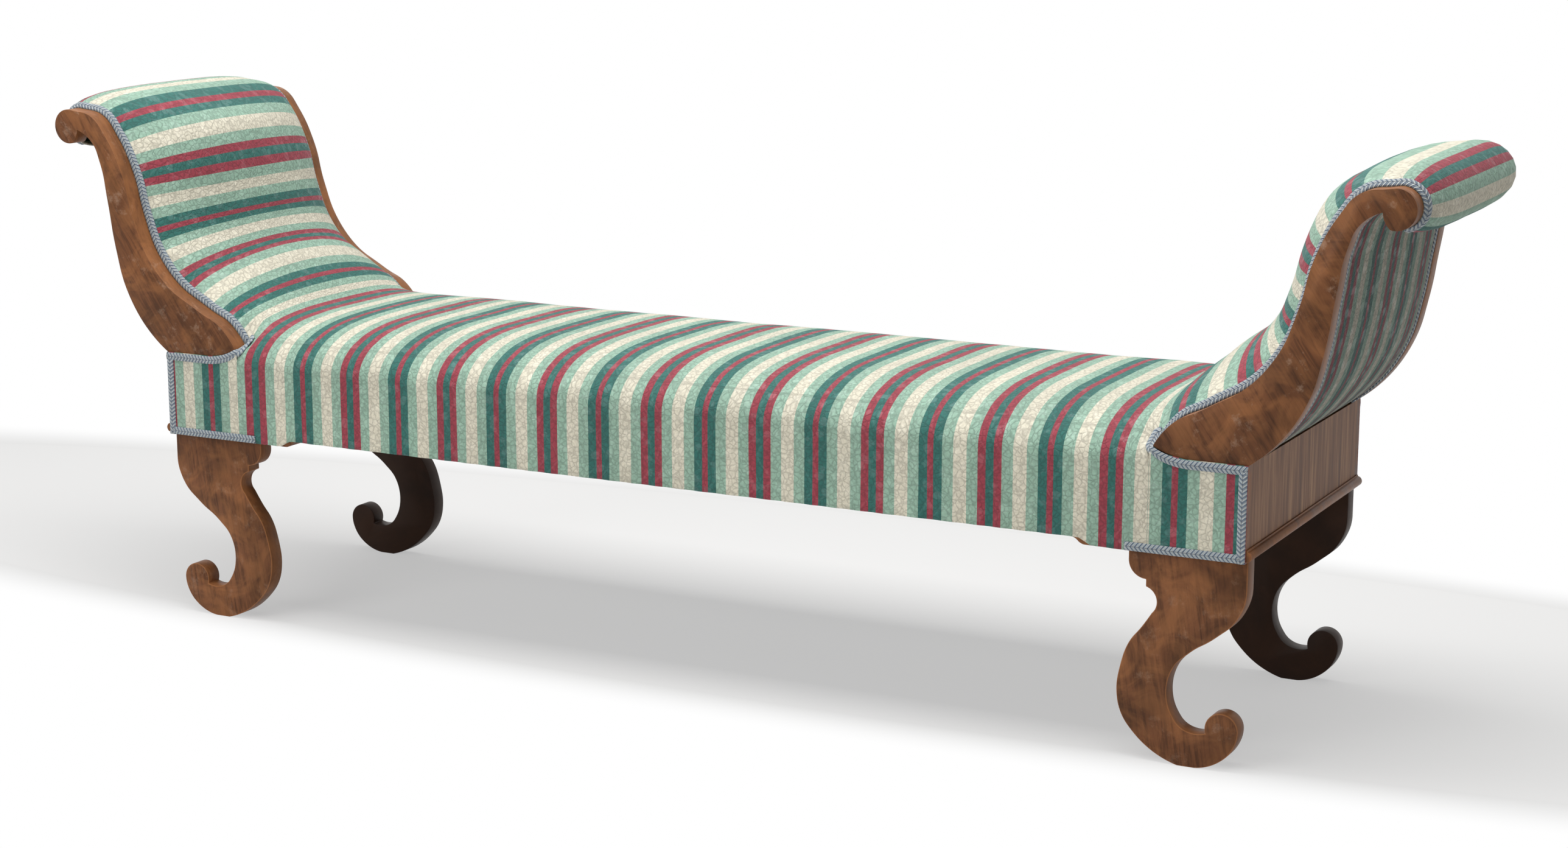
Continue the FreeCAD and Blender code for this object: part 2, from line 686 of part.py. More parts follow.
nodes.append(block("seat_hessian", "2 * (%s - Sizes.gimp_wide)" % TOE,
                   "2 * (Sizes.half_depth - Sizes.edge_bevel)", "Sizes.hessian_thick",
                   "-(%s - Sizes.gimp_wide)" % TOE,
                   "-(Sizes.half_depth - Sizes.edge_bevel)",
                   "Sizes.rail_top + 2 * Sizes.web_thick"))


# Soft solids of flat facets

def facet(points):
    return Part.Face(Part.makePolygon(points + points[:1]))


def between(rows):
    """Two facets for each square between rows of as many points."""
    faces = []
    for row, following in zip(rows, rows[1:]):
        for a, b, c, d in zip(row, row[1:], following[1:], following):
            faces += [facet([a, b, c]), facet([a, c, d])]
    return faces


def quilted(outer, inner):
    """A solid of flat facets between two skins, each given as rows of points."""
    faces = between(outer) + between(inner)
    for end in (0, -1):
        faces.append(facet(outer[end] + inner[end][::-1]))
        faces += between([[row[end] for row in outer], [row[end] for row in inner]])
    shell = Part.Shell(faces)
    shell.sewShape()
    solid = Part.Solid(shell)
    if solid.Volume < 0:
        solid.reverse()
    return solid.removeSplitter()


def swell(share, power):
    """How much of the full crown stands at this share of the way to the edge."""
    return (1 - abs(share) ** power[0]) ** power[1]


def both_ways(shares):
    """Shares of the way from the middle to an edge, on both sides of the middle."""
    return [-share for share in reversed(shares)] + list(shares[1:])


# Seat stuffing and cover

def seat_end():
    return worked_out(TOE) - size("gimp_thick") - size("soft_play")


def crown(x, half, top):
    """The seat's upper edge across its depth, as points from front to back."""
    side_line = size("rail_top") - size("seat_lap")
    return [Vector(x, share * half, side_line + (top - side_line) * swell(share, SEAT_SWELL))
            for share in both_ways(SEAT_STEPS)]


def seat_stations():
    """Places along the seat: how far out, the crown's height, and the cover's foot."""
    low = worked_out(STEP) + size("step_run") / 2
    high = worked_out(STEP) - size("step_run") / 2
    foot, top = size("rail_foot"), size("rail_top")
    half = [(high, top + size("seat_rise"), foot + size("arch_lift")),
            (low, top + size("seat_rise"), foot),
            (seat_end(), top + size("seat_end_rise"), foot)]
    return [(-x, top, foot) for x, top, foot in reversed(half)] + half


def seat_stuffing():
    inset = size("cloth_thick") + size("soft_play")
    bed = size("rail_top") + 2 * size("web_thick") + size("hessian_thick") + size("soft_play")
    bed_half = size("half_depth") - size("edge_bevel") + size("soft_play")
    above, below = [], []
    for x, top, foot in seat_stations():
        above.append(crown(x, size("half_depth") - size("soft_play"), top - inset))
        below.append([Vector(x, share * bed_half, bed) for share in both_ways(SEAT_STEPS)])
    return quilted(above, below)


def seat_cover():
    """The cover: over the crown, down the front and the back, and on under the arm boards."""
    thick = size("cloth_thick")
    skins = []
    for half, rise in ((size("half_depth") + thick, 0), (size("half_depth"), -thick)):
        skins.append([[Vector(x, -half, foot)] + crown(x, half, top + rise) + [Vector(x, half, foot)]
                      for x, top, foot in seat_stations()])
    shape = quilted(*skins)
    low, high = size("rail_foot"), size("rail_top")
    for x in (-size("half_span"), seat_end()):
        for y in (-size("half_depth") - thick, size("half_depth")):
            shape = shape.fuse(Part.makeBox(size("half_span") - seat_end(), thick, high - low,
                                            Vector(x, y, low)))
    return shape.removeSplitter()


nodes.append(shaped("seat_stuffing", seat_stuffing()))
nodes.append(shaped("seat_cover", seat_cover()))


# Arm layers: each follows an edge of the boards at its own depth below or above it

def stations(points, ways, outward):
    """Points with the way out of the board at each, and how far each is on to the roll."""
    found = []
    for index, (point, way) in enumerate(zip(points, ways)):
        share = index / (len(points) - 1)
        on_roll = max(0, (share - ROLL_FROM) / (1 - ROLL_FROM))
        found.append((corner(point), Vector(-way.y, way.x, 0) * outward, on_roll))
    return found


def roll_stations(side):
    """The same round the scroll, under the roll."""
    found = []
    for degrees in ROLL_TURNS:
        turn = math.radians(degrees)
        away = Vector(side * math.cos(turn), math.sin(turn), 0)
        found.append((corner(scroll_centre(side)) + away * size("scroll_radius"), away, 1))
    return found


def layer(path, y, on_arm, on_roll, start=None):
    """The path's points in the plane at y, moved out by one amount on the arm, one on the roll."""
    points = []
    for point, away, blend in path:
        moved = point + away * (on_arm + (on_roll - on_arm) * blend)
        points.append(Vector(moved.x, y, moved.y))
    if start:
        points[0] = Vector(start[0], y, start[1])
    return points


def band(path, y, width, low, high):
    """A strip between two depths, each given for the arm and for the roll."""
    ring = layer(path, y, *low) + layer(path, y, *high)[::-1]
    return facet(ring).extrude(Vector(0, width, 0))


def arm_padding(path, side, outer_inset, inner_inset=None):
    """Padding over an arm and its roll that swells between the boards.

    With no inner_inset it is solid down to the hessian, and with one it is a skin.
    """
    flat = inside - size("gimp_wide")
    rest = size("gimp_thick") + size("soft_play")
    start = side * (seat_end() + 2 * size("soft_play"))
    toe_low = size("rail_top") + 2 * size("toe_lift")
    toe_high = size("rail_top") + size("seat_end_rise")
    bed_arm = -(size("hessian_depth") - size("soft_play"))
    bed = size("rail_top") + 2 * size("web_thick") + size("hessian_thick") + size("soft_play")
    depths = [(share * flat, swell(share, ARM_SWELL)) for share in both_ways(ARM_STEPS)]

    def surface(y, part, inset):
        """Points over the arm, straight from the toe to the second point past it."""
        row = layer(path, y, part * (size("arm_crown") + rest) - rest - inset,
                    part * (size("roll_crown") + rest) - rest - inset,
                    (start, toe_low + part * (toe_high - toe_low) - inset))
        row[1] = (row[0] + row[2]) * 0.5
        return row

    above, below = [], []
    for y, part in [(-inside, 0)] + depths + [(inside, 0)]:
        above.append(surface(y, part, outer_inset))
        if inner_inset is None:
            below.append(layer(path, y, bed_arm, bed_arm + roll_lift, (start, bed)))
        else:
            below.append(surface(y, part, inner_inset))
    return quilted(above, below)


# How much nearer to the boards' edge the webbing lies where it passes over the roll's rail.
roll_lift = size("hessian_depth") + size("hessian_thick") + size("web_thick") \
    + size("roll_rail_radius") - size("scroll_radius") + size("soft_play")
inside = size("half_depth") - size("board_thick") - size("soft_play")

for name, side in SIDES:
    points, at_scroll = inner_edge(side)
    arm = stations(points, headings(points, at_scroll), side)
    web_top = -(size("hessian_depth") + size("hessian_thick"))
    web_foot = web_top - size("web_thick")
    strips = [band(arm, row * size("arm_web_rows") - size("web_wide") / 2, size("web_wide"),
                   (web_foot, web_foot + roll_lift), (web_top, web_top + roll_lift))
              for row in (-1, 0, 1)]
    nodes.append(shaped("arm_webbing_" + name, Part.makeCompound(strips)))
    top = -size("hessian_depth")
    nodes.append(shaped("arm_hessian_" + name,
                        band(arm, -inside, 2 * inside, (web_top, web_top + roll_lift),
                             (top, top + roll_lift))))
    over = arm + roll_stations(side)
    skin = size("cloth_thick")
    nodes.append(shaped("arm_stuffing_" + name,
                        arm_padding(over, side, skin + size("soft_play"))))
    nodes.append(shaped("arm_cover_" + name, arm_padding(over, side, 0, skin)))

    points = outer_edge(side)
    back = stations(points, headings(points), side)[1:]
    face = -size("panel_inset")
    lining = face - size("panel_thick")
    nodes.append(shaped("outside_cover_" + name,
                        band(back, -inside, 2 * inside, (lining, lining), (face, face))))

    wide, thick = size("gimp_wide"), size("gimp_thick")
    for label, path, foot in (("gimp_arm_", over[1:], -thick), ("gimp_outside_", back, face)):
        strips = [band(path, y, wide, (foot, foot), (foot + thick, foot + thick))
                  for y in (-inside, inside - wide)]
        nodes.append(shaped(label + name, Part.makeCompound(strips)))


# Gimp braid on the front and back of the seat frame, and the cloth under the seat

for row, y in (("front", "-(Sizes.half_depth + Sizes.cloth_thick + Sizes.gimp_thick)"),
               ("back", "Sizes.half_depth + Sizes.cloth_thick")):
    strips = []
    for name, side in SIDES:
        mark = "%s_%s" % (row, name)
        low, high = ("-Sizes.half_span", "-(Sizes.half_span - Sizes.gimp_wide)")
        if side == RIGHT:
            low, high = ("Sizes.half_span - Sizes.gimp_wide", TOE + " + Sizes.gimp_wide")
        strips.append(block("gimp_end_" + mark, "Sizes.gimp_wide", "Sizes.gimp_thick",
                            "Sizes.rail_top - Sizes.rail_foot", low, y, "Sizes.rail_foot"))
        run = "Sizes.toe_reach - 2 * Sizes.gimp_wide"
        strips.append(block("gimp_top_" + mark, run, "Sizes.gimp_thick", "Sizes.gimp_wide",
                            high, y, "Sizes.rail_top - Sizes.gimp_wide"))
        run = "Sizes.leg_width - Sizes.gimp_wide"
        start = high if side == LEFT else "Sizes.half_span - Sizes.leg_width"
        strips.append(block("gimp_foot_" + mark, run, "Sizes.gimp_thick", "Sizes.gimp_wide",
                            start, y, "Sizes.rail_foot"))
    nodes.append(group("gimp_" + row, strips))

nodes.append(block("under_cloth", "2 * (%s - Sizes.step_run)" % STEP,
                   "2 * (Sizes.half_depth - Sizes.under_cloth_gap)", "Sizes.under_cloth_thick",
                   "-(%s - Sizes.step_run)" % STEP,
                   "-(Sizes.half_depth - Sizes.under_cloth_gap)",
                   "Sizes.rail_foot + Sizes.arch_lift - Sizes.under_cloth_thick"))


# Check every object, then write one file for each sub-part

doc.recompute()
for item in doc.Objects:
    if "Invalid" in item.State or "Error" in item.State:
        raise RuntimeError(item.Label + " did not build")

os.makedirs("parts", exist_ok=True)
for node in nodes:
    check(node.Label, node.Shape)
    node.Shape.exportStep("parts/%s.step" % node.Label)
print("%d sub-parts, %d solids" % (len(nodes), sum(len(node.Shape.Solids) for node in nodes)))
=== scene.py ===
"""A recamier in walnut and striped damask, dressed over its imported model.

Lengths are in metres, X runs along the seat, -Y is the front and Z is up.
"""

import math

import bmesh
import bpy
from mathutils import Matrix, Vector, noise


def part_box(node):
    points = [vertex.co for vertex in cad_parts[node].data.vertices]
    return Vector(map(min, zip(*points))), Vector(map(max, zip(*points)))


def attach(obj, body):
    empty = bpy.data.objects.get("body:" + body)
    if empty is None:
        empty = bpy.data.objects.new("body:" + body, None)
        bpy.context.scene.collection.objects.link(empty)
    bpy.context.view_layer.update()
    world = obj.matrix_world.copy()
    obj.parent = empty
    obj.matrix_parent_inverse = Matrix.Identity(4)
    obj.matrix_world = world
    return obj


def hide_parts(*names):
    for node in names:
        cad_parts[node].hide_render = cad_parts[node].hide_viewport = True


bl_info = {
    "name": "Recamier",
    "version": (1, 0, 0),
    "blender": (4, 5, 0),
    "location": "View3D > Sidebar > Recamier",
    "description": "Dresses a recamier: upholstery, braid, woodwork and a plain studio",
    "category": "Object",
}

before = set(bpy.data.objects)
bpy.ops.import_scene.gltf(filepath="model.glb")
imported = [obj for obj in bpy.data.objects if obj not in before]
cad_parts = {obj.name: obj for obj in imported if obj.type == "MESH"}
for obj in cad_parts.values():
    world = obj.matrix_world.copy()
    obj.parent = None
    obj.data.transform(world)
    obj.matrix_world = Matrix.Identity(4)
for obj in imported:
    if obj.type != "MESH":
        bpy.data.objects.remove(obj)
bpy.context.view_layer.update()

MM = 0.001
SIDES = (("left", -1), ("right", 1))
FACES = (("front", -1), ("back", 1))
WELD = 0.01 * MM


def linear(code):
    """An sRGB hex colour as linear red, green, blue and alpha."""
    parts = [int(code[i:i + 2], 16) / 255 for i in (1, 3, 5)]
    return [c / 12.92 if c <= 0.04045 else ((c + 0.055) / 1.055) ** 2.4 for c in parts] + [1.0]


def ease(value, start, end):
    """A smooth step from 0 at start to 1 at end."""
    share = min(max((value - start) / (end - start), 0.0), 1.0)
    return share * share * (3 - 2 * share)


def mix(a, b, share):
    return a + (b - a) * share


def lay(side, point, y=0.0):
    """An (x, z) point or way as a vector on one side of the part, at a depth."""
    return Vector((side * point.x, y, point.y))


# Sizes and colours that a user would change

def a_length(name, description, default):
    """A length in metres."""
    return bpy.props.FloatProperty(name=name, description=description, default=default,
                                   unit="LENGTH")


def a_colour(name, description, code):
    """A colour, given as sRGB hex."""
    return bpy.props.FloatVectorProperty(name=name, description=description, subtype="COLOR",
                                         size=4, default=linear(code))


class ClothSettings(bpy.types.PropertyGroup):
    """The striped damask and how it lies."""

    repeat: a_length("Stripe repeat", "Width of one full repeat of the stripes", 0.1747)
    phase: a_length("Stripe start", "Where the middle of a red group lies along the seat", -0.0075)
    cream: a_colour("Cream", "Ground of the cloth", "#D3CDBA")
    mint: a_colour("Mint", "Pale green stripes", "#8EAE9B")
    teal: a_colour("Teal", "Dark green stripes", "#1F6159")
    red: a_colour("Red", "Red stripes", "#92303F")
    seat_crown: a_length("Seat crown", "Rise of the seat over its edge between the boards", 0.027)
    arm_crown: a_length("Arm crown", "Rise of an arm's padding over its boards", 0.062)
    roll_crown: a_length("Roll crown", "Rise of the roll over its boards", 0.024)


class BraidSettings(bpy.types.PropertyGroup):
    """The gimp that covers the tacks."""

    width: a_length("Width", "Width of the gimp", 0.012)
    thickness: a_length("Thickness", "Thickness of the gimp", 0.0024)
    pitch: a_length("Chevron pitch", "Length of one chevron of the braid", 0.006)
    blue: a_colour("Blue grey", "Main yarn", "#56677A")
    pale: a_colour("Pale", "Light yarn", "#B4BBBC")
    dark: a_colour("Dark", "Dark flecks", "#232833")


class WoodSettings(bpy.types.PropertyGroup):
    """The show wood."""

    arris: a_length("Worn edge", "Width of the rubbed edges", 0.0012)
    brown: a_colour("Walnut", "Main colour of the walnut", "#6B4329")
    deep: a_colour("Walnut grain", "Dark lines of the walnut", "#29180E")
    rubbed: a_colour("Rubbed walnut", "Edges where the polish is worn", "#96633C")
    veneer: a_colour("Veneer", "Colour of the end panels", "#734F36")


class StageSettings(bpy.types.PropertyGroup):
    """The camera and the studio."""

    lens: bpy.props.FloatProperty(
        name="Lens", description="Focal length on a 36 mm wide sensor, in millimetres",
        default=66.075)
    place: bpy.props.FloatVectorProperty(
        name="Camera", description="Where the camera stands", subtype="TRANSLATION", size=3,
        default=(2.01069, -3.72017, 1.23617))
    azimuth: bpy.props.FloatProperty(
        name="Azimuth", description="How far the camera is turned from straight ahead",
        default=0.47956, subtype="ANGLE")
    elevation: bpy.props.FloatProperty(
        name="Elevation", description="How far the camera looks down", default=0.20809,
        subtype="ANGLE")


SETTINGS = {"recamier_cloth": ClothSettings, "recamier_braid": BraidSettings,
            "recamier_wood": WoodSettings, "recamier_stage": StageSettings}


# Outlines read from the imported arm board

class Path:
    """A line of (x, z) points with its length, and the way out of it on its left."""

    def __init__(self, points):
        self.points = [Vector(p) for p in points]
        self.marks = [0.0]
        for a, b in zip(self.points, self.points[1:]):
            self.marks.append(self.marks[-1] + (b - a).length)
        self.length = self.marks[-1]

    def at(self, distance):
        """The point at a distance along the line."""
        distance = min(max(distance, 0.0), self.length)
        low, high = 0, len(self.marks) - 1
        while high - low > 1:
            middle = (low + high) // 2
            if self.marks[middle] <= distance:
                low = middle
            else:
                high = middle
        span = self.marks[high] - self.marks[low]
        share = (distance - self.marks[low]) / span if span else 0.0
        return self.points[low].lerp(self.points[high], share)

    def out(self, distance, reach=0.012):
        """The way out, smoothed over a short reach either side."""
        way = (self.at(distance + reach) - self.at(distance - reach)).normalized()
        return Vector((-way.y, way.x))


def board_rim():
    """The outline of the front right arm board as (x, z) points, from its toe upwards."""
    bm = bmesh.new()
    bm.from_mesh(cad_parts["arm_board_front_right"].data)
    bmesh.ops.remove_doubles(bm, verts=bm.verts, dist=WELD)
    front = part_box("arm_board_front_right")[0].y
    faces = {f for f in bm.faces if all(abs(v.co.y - front) < WELD for v in f.verts)}
    beside = {}
    for face in faces:
        for edge in face.edges:
            if sum(f in faces for f in edge.link_faces) == 1:
                a, b = edge.verts
                beside.setdefault(a, []).append(b)
                beside.setdefault(b, []).append(a)
    start = min(beside, key=lambda v: v.co.x)
    chain = [start, max(beside[start], key=lambda v: v.co.z)]
    while chain[-1] is not start:
        a, b = beside[chain[-1]]
        chain.append(b if a is chain[-2] else a)
    points = [(v.co.x, v.co.z) for v in chain[:-1]]
    bm.free()
    return points


def split_rim(rim):
    """The edge under the padding, the outside cover's edge, and the underside to the toe."""
    tip = max(range(len(rim)), key=lambda i: rim[i][0])
    rail_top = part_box("end_rail_right")[1].z
    heel = max((i for i in range(len(rim)) if abs(rim[i][1] - rail_top) < 0.1 * MM),
               key=lambda i: rim[i][0])
    low = min(range(tip, tip + (heel - tip) // 3), key=lambda i: rim[i][1])
    throat = max(range(low, heel), key=lambda i: rim[i][1])
    return rim[:low + 1], rim[throat:heel + 1], rim[heel:] + rim[:1]


inner_rim, outer_rim, under_rim = split_rim(board_rim())
toe = Vector(inner_rim[0])
depth_inside = -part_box("arm_cover_right")[0].y
rail_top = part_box("end_rail_right")[1].z
rail_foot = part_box("front_rail")[0].z
half_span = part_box("front_rail")[1].x
face_out = -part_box("seat_cover")[0].y

# The seat's section: the height where its front turns in, and the height that it turns up to
SIDE_LINE = 0.408
SEAT_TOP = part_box("seat_stuffing")[1].z - 12 * MM

# Sections across the padding and the outside covers, as the two powers of swell()
SEAT_SWELL = (3.5, 0.5)
ARM_SWELL = (2.0, 0.6)
ROLL_SWELL = (4.0, 0.55)
OUTSIDE_SWELL = (2.2, 0.8)

# Where the padding changes, as bands of distances past the boards' toe
TURN_TO_ARM = (-32 * MM, 42 * MM)
CROWN_GROWS = (-60 * MM, 130 * MM)
SECTION_CHANGES = (-60 * MM, 60 * MM)
HOLLOW_BEGINS = (-80 * MM, -20 * MM)
DRAWN_BEGINS = (-30 * MM, 0.0)

# The same as bands of distances past the end of the roll
ROLL_BEGINS = (-210 * MM, -110 * MM)
ROLL_CLOTH_BEGINS = (-125 * MM, -85 * MM)
ROLL_TUCKED_IN = (-45 * MM, 0.0)

# Cloth used for each metre: across the seat, down its front, and in the arms' hollow
CLOTH_ACROSS = 1.06
CLOTH_DOWN = 1.03
HOLLOW_RATE = 0.85

# Cloth taken up in tucks on each arm, as a distance from the middle and how much by then
TUCKS = {
    -1: ((0.742, 0.0), (0.80, 0.022), (0.95, 0.023), (1.035, 0.031), (1.12, 0.046), (1.2, 0.048)),
    1: ((0.69, 0.0), (0.75, 0.011), (0.83, 0.011), (0.92, 0.002), (1.12, 0.034), (1.2, 0.034),
        (1.32, 0.004))}
TACK_PITCH = 41 * MM

# Squares of a soft piece, stations of gimp, and the narrow squares on both sides of a joint
CELL = 8 * MM
GIMP_STEP = 5 * MM
JOINT = 0.8 * MM


def rim_height(x):
    """The height of a board's inner edge at a place along the seat."""
    after = next(i for i, p in enumerate(inner_rim) if p[0] > x)
    (xa, za), (xb, zb) = inner_rim[max(after - 1, 0)], inner_rim[after]
    return mix(za, zb, (x - xa) / (xb - xa)) if after else za


def swell(share, powers):
    """The height of a rounded section at a share of its half width, 1 in the middle."""
    return (1 - min(abs(share), 1.0) ** powers[0]) ** powers[1]


edge_swell = swell(depth_inside / face_out, SEAT_SWELL)


def past_toe(distance, band):
    """A smooth step over a band of distances past the boards' toe."""
    return ease(distance, toe.x + band[0], toe.x + band[1])


def down_front(z):
    """Where a height of the seat's front falls on the cloth, from the middle of the seat."""
    return depth_inside * CLOTH_ACROSS + (SEAT_TOP - z) * CLOTH_DOWN


# Meshes

def placed(name, data):
    """A new object in the scene."""
    made = bpy.data.objects.new(name, data)
    bpy.context.scene.collection.objects.link(made)
    return made


def finished(bm, name, material):
    """Turns a bmesh into a smooth piece of the part."""
    mesh = bpy.data.meshes.new(name)
    bm.to_mesh(mesh)
    bm.free()
    mesh.materials.append(material)
    for polygon in mesh.polygons:
        polygon.use_smooth = True
    piece = placed(name, mesh)
    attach(piece, "root")
    return piece


def thickened(piece, name, thickness):
    """Gives a sheet its thickness, behind the side that shows."""
    wall = piece.modifiers.new(name, "SOLIDIFY")
    wall.thickness = thickness
    wall.offset = -1.0


def quilt(columns, rows, place, keep=None, outward=None):
    """A sheet of squares: place gives a point and its cloth coordinates for a column and row.

    Corners that keep refuses are left out, and outward is the way that the sheet looks.
    """
    bm = bmesh.new()
    uv = bm.loops.layers.uv.new("UVMap")
    bmesh.ops.create_grid(bm, x_segments=columns, y_segments=rows, size=0.5)
    on_cloth, dropped = {}, []
    for vert in bm.verts:
        column, row = round((vert.co.x + 0.5) * columns), round((vert.co.y + 0.5) * rows)
        if keep and not keep(column, row):
            dropped.append(vert)
        else:
            vert.co, on_cloth[vert] = place(column, row)
    if dropped:
        bmesh.ops.delete(bm, geom=dropped, context="VERTS")
    for face in bm.faces:
        for loop in face.loops:
            loop[uv].uv = on_cloth[loop.vert]
    bmesh.ops.recalc_face_normals(bm, faces=bm.faces)
    if outward is not None and bm.faces[:][len(bm.faces) // 2].normal.dot(outward) < 0:
        bmesh.ops.reverse_faces(bm, faces=bm.faces)
    return bm


def give(material, *nodes):
    """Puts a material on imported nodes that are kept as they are."""
    for node in nodes:
        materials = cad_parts[node].data.materials
        materials.clear()
        materials.append(material)


# Materials

def fill(tree, node, inputs):
    """Sets a node's inputs, each to a socket or to a plain value."""
    for name, item in inputs.items():
        if hasattr(item, "is_linked"):
            tree.links.new(item, node.inputs[name])
        else:
            node.inputs[name].default_value = item


def add(tree, kind, settings=None, inputs=None):
    """Adds a node with its settings and its inputs."""
    made = tree.nodes.new(kind)
    for name, value in (settings or {}).items():
        setattr(made, name, value)
    fill(tree, made, inputs or {})
    return made


def begin(name):
    """A new material with its node tree and its shader."""
    material = bpy.data.materials.new(name)
    material.use_nodes = True
    tree = material.node_tree
    tree.nodes.clear()
    shader = add(tree, "ShaderNodeBsdfPrincipled")
    add(tree, "ShaderNodeOutputMaterial", inputs={"Surface": shader.outputs[0]})
    return material, tree, shader


def maths(tree, operation, first, second=0.0):
    """One sum on sockets or numbers."""
    return add(tree, "ShaderNodeMath", {"operation": operation},
               {0: first, 1: second}).outputs[0]


def total(tree, *parts):
    """The sum of several sockets, each times its weight."""
    result = 0.0
    for source, weight in parts:
        result = add(tree, "ShaderNodeMath", {"operation": "MULTIPLY_ADD"},
                     {0: source, 1: weight, 2: result}).outputs[0]
    return result


def waves(tree, distance, pitch):
    """A sine wave along a distance."""
    return maths(tree, "SINE", maths(tree, "MULTIPLY", distance, 2 * math.pi / pitch))


def blend(tree, share, first, second, how="MIX"):
    """A mix of two colours, each a socket or a plain colour."""
    return add(tree, "ShaderNodeMix", {"data_type": "RGBA", "blend_type": how},
               {0: share, 6: first, 7: second}).outputs[2]


def ramp(tree, source, stops, how="LINEAR"):
    """Colours over the values of a source, from pairs of a value and a colour."""
    node = add(tree, "ShaderNodeValToRGB", inputs={0: source})
    node.color_ramp.interpolation = how
    points = node.color_ramp.elements
    while len(points) < len(stops):
        points.new(0.5)
    for point, (at, colour) in zip(points, stops):
        point.position = at
        point.color = colour
    return node.outputs[0]


def greys(tree, source, *stops):
    """Greys over the values of a source, from pairs of a value and a grey."""
    return ramp(tree, source, [(at, (value, value, value, 1.0)) for at, value in stops])


def dimmed(tree, colour, source, *stops):
    """A colour multiplied by greys over the values of a source."""
    return blend(tree, 1.0, colour, greys(tree, source, *stops), "MULTIPLY")


def mapped(tree, place, **how):
    """Coordinates moved, turned or scaled."""
    return add(tree, "ShaderNodeMapping", inputs={"Vector": place, **how}).outputs[0]


def cloudy(tree, place, size, detail, roughness=0.5, distortion=0.0):
    """A noise in patches of about one size."""
    return add(tree, "ShaderNodeTexNoise",
               inputs={"Vector": place, "Scale": 1 / size, "Detail": detail,
                       "Roughness": roughness, "Distortion": distortion}).outputs[0]


def wobbled(tree, place, amount):
    """Coordinates shifted about by a soft noise."""
    shift = add(tree, "ShaderNodeTexNoise",
                inputs={"Vector": place, "Scale": 1 / (12 * MM), "Detail": 2.0})
    centred = add(tree, "ShaderNodeVectorMath", {"operation": "SUBTRACT"},
                  {0: shift.outputs["Color"], 1: (0.5, 0.5, 0.5)})
    scaled = add(tree, "ShaderNodeVectorMath", {"operation": "SCALE"},
                 {0: centred.outputs[0], "Scale": 2 * amount})
    return add(tree, "ShaderNodeVectorMath", {"operation": "ADD"},
               {0: place, 1: scaled.outputs[0]}).outputs[0]


def bump(tree, height, strength, depth):
    """Normals from a height between 0 and 1, which stands for a depth."""
    return add(tree, "ShaderNodeBump", inputs={"Height": height, "Strength": strength,
                                               "Distance": depth}).outputs[0]


def on_object(tree):
    """The place on the object, in metres."""
    return add(tree, "ShaderNodeTexCoord").outputs["Object"]


def on_uv(tree):
    """The cloth's coordinates, and the two of them apart."""
    uv = add(tree, "ShaderNodeUVMap", {"uv_map": "UVMap"}).outputs[0]
    parts = add(tree, "ShaderNodeSeparateXYZ", inputs={0: uv}).outputs
    return uv, parts[0], parts[1]


# Widths of the stripes over one repeat, in millimetres, from the middle of a red group.
STRIPES = (("teal", 6.0), ("red", 11.5), ("mint", 16.0), ("cream", 20.4), ("mint", 16.0),
           ("teal", 12.7), ("red", 9.5), ("teal", 12.7), ("mint", 16.0), ("cream", 20.4),
           ("mint", 16.0), ("red", 11.5), ("teal", 6.0))


def damask_figure(tree, uv, across, along):
    """Winding stems with leaves between them: 1 in the satin and 0 on the ground."""
    sway = maths(tree, "MULTIPLY", waves(tree, along, 74 * MM), 1.5)
    lane = maths(tree, "MULTIPLY", across, 2 * math.pi / (43.7 * MM))
    stem = maths(tree, "ABSOLUTE", maths(tree, "SINE", maths(tree, "ADD", lane, sway)))
    stem_line = greys(tree, stem, (0.16, 0.45), (0.3, 0.0))
    leaves = add(tree, "ShaderNodeTexVoronoi", {"feature": "SMOOTH_F1"},
                 {"Vector": uv, "Scale": 1 / (19 * MM), "Randomness": 0.75, "Smoothness": 0.25})
    ragged = maths(tree, "SUBTRACT", cloudy(tree, uv, 13 * MM, 3.0), 0.5)
    leaf = total(tree, (leaves.outputs["Distance"], 1.0), (ragged, 0.7))
    return maths(tree, "MAXIMUM", stem_line, greys(tree, leaf, (0.3, 1.0), (0.38, 0.0)))


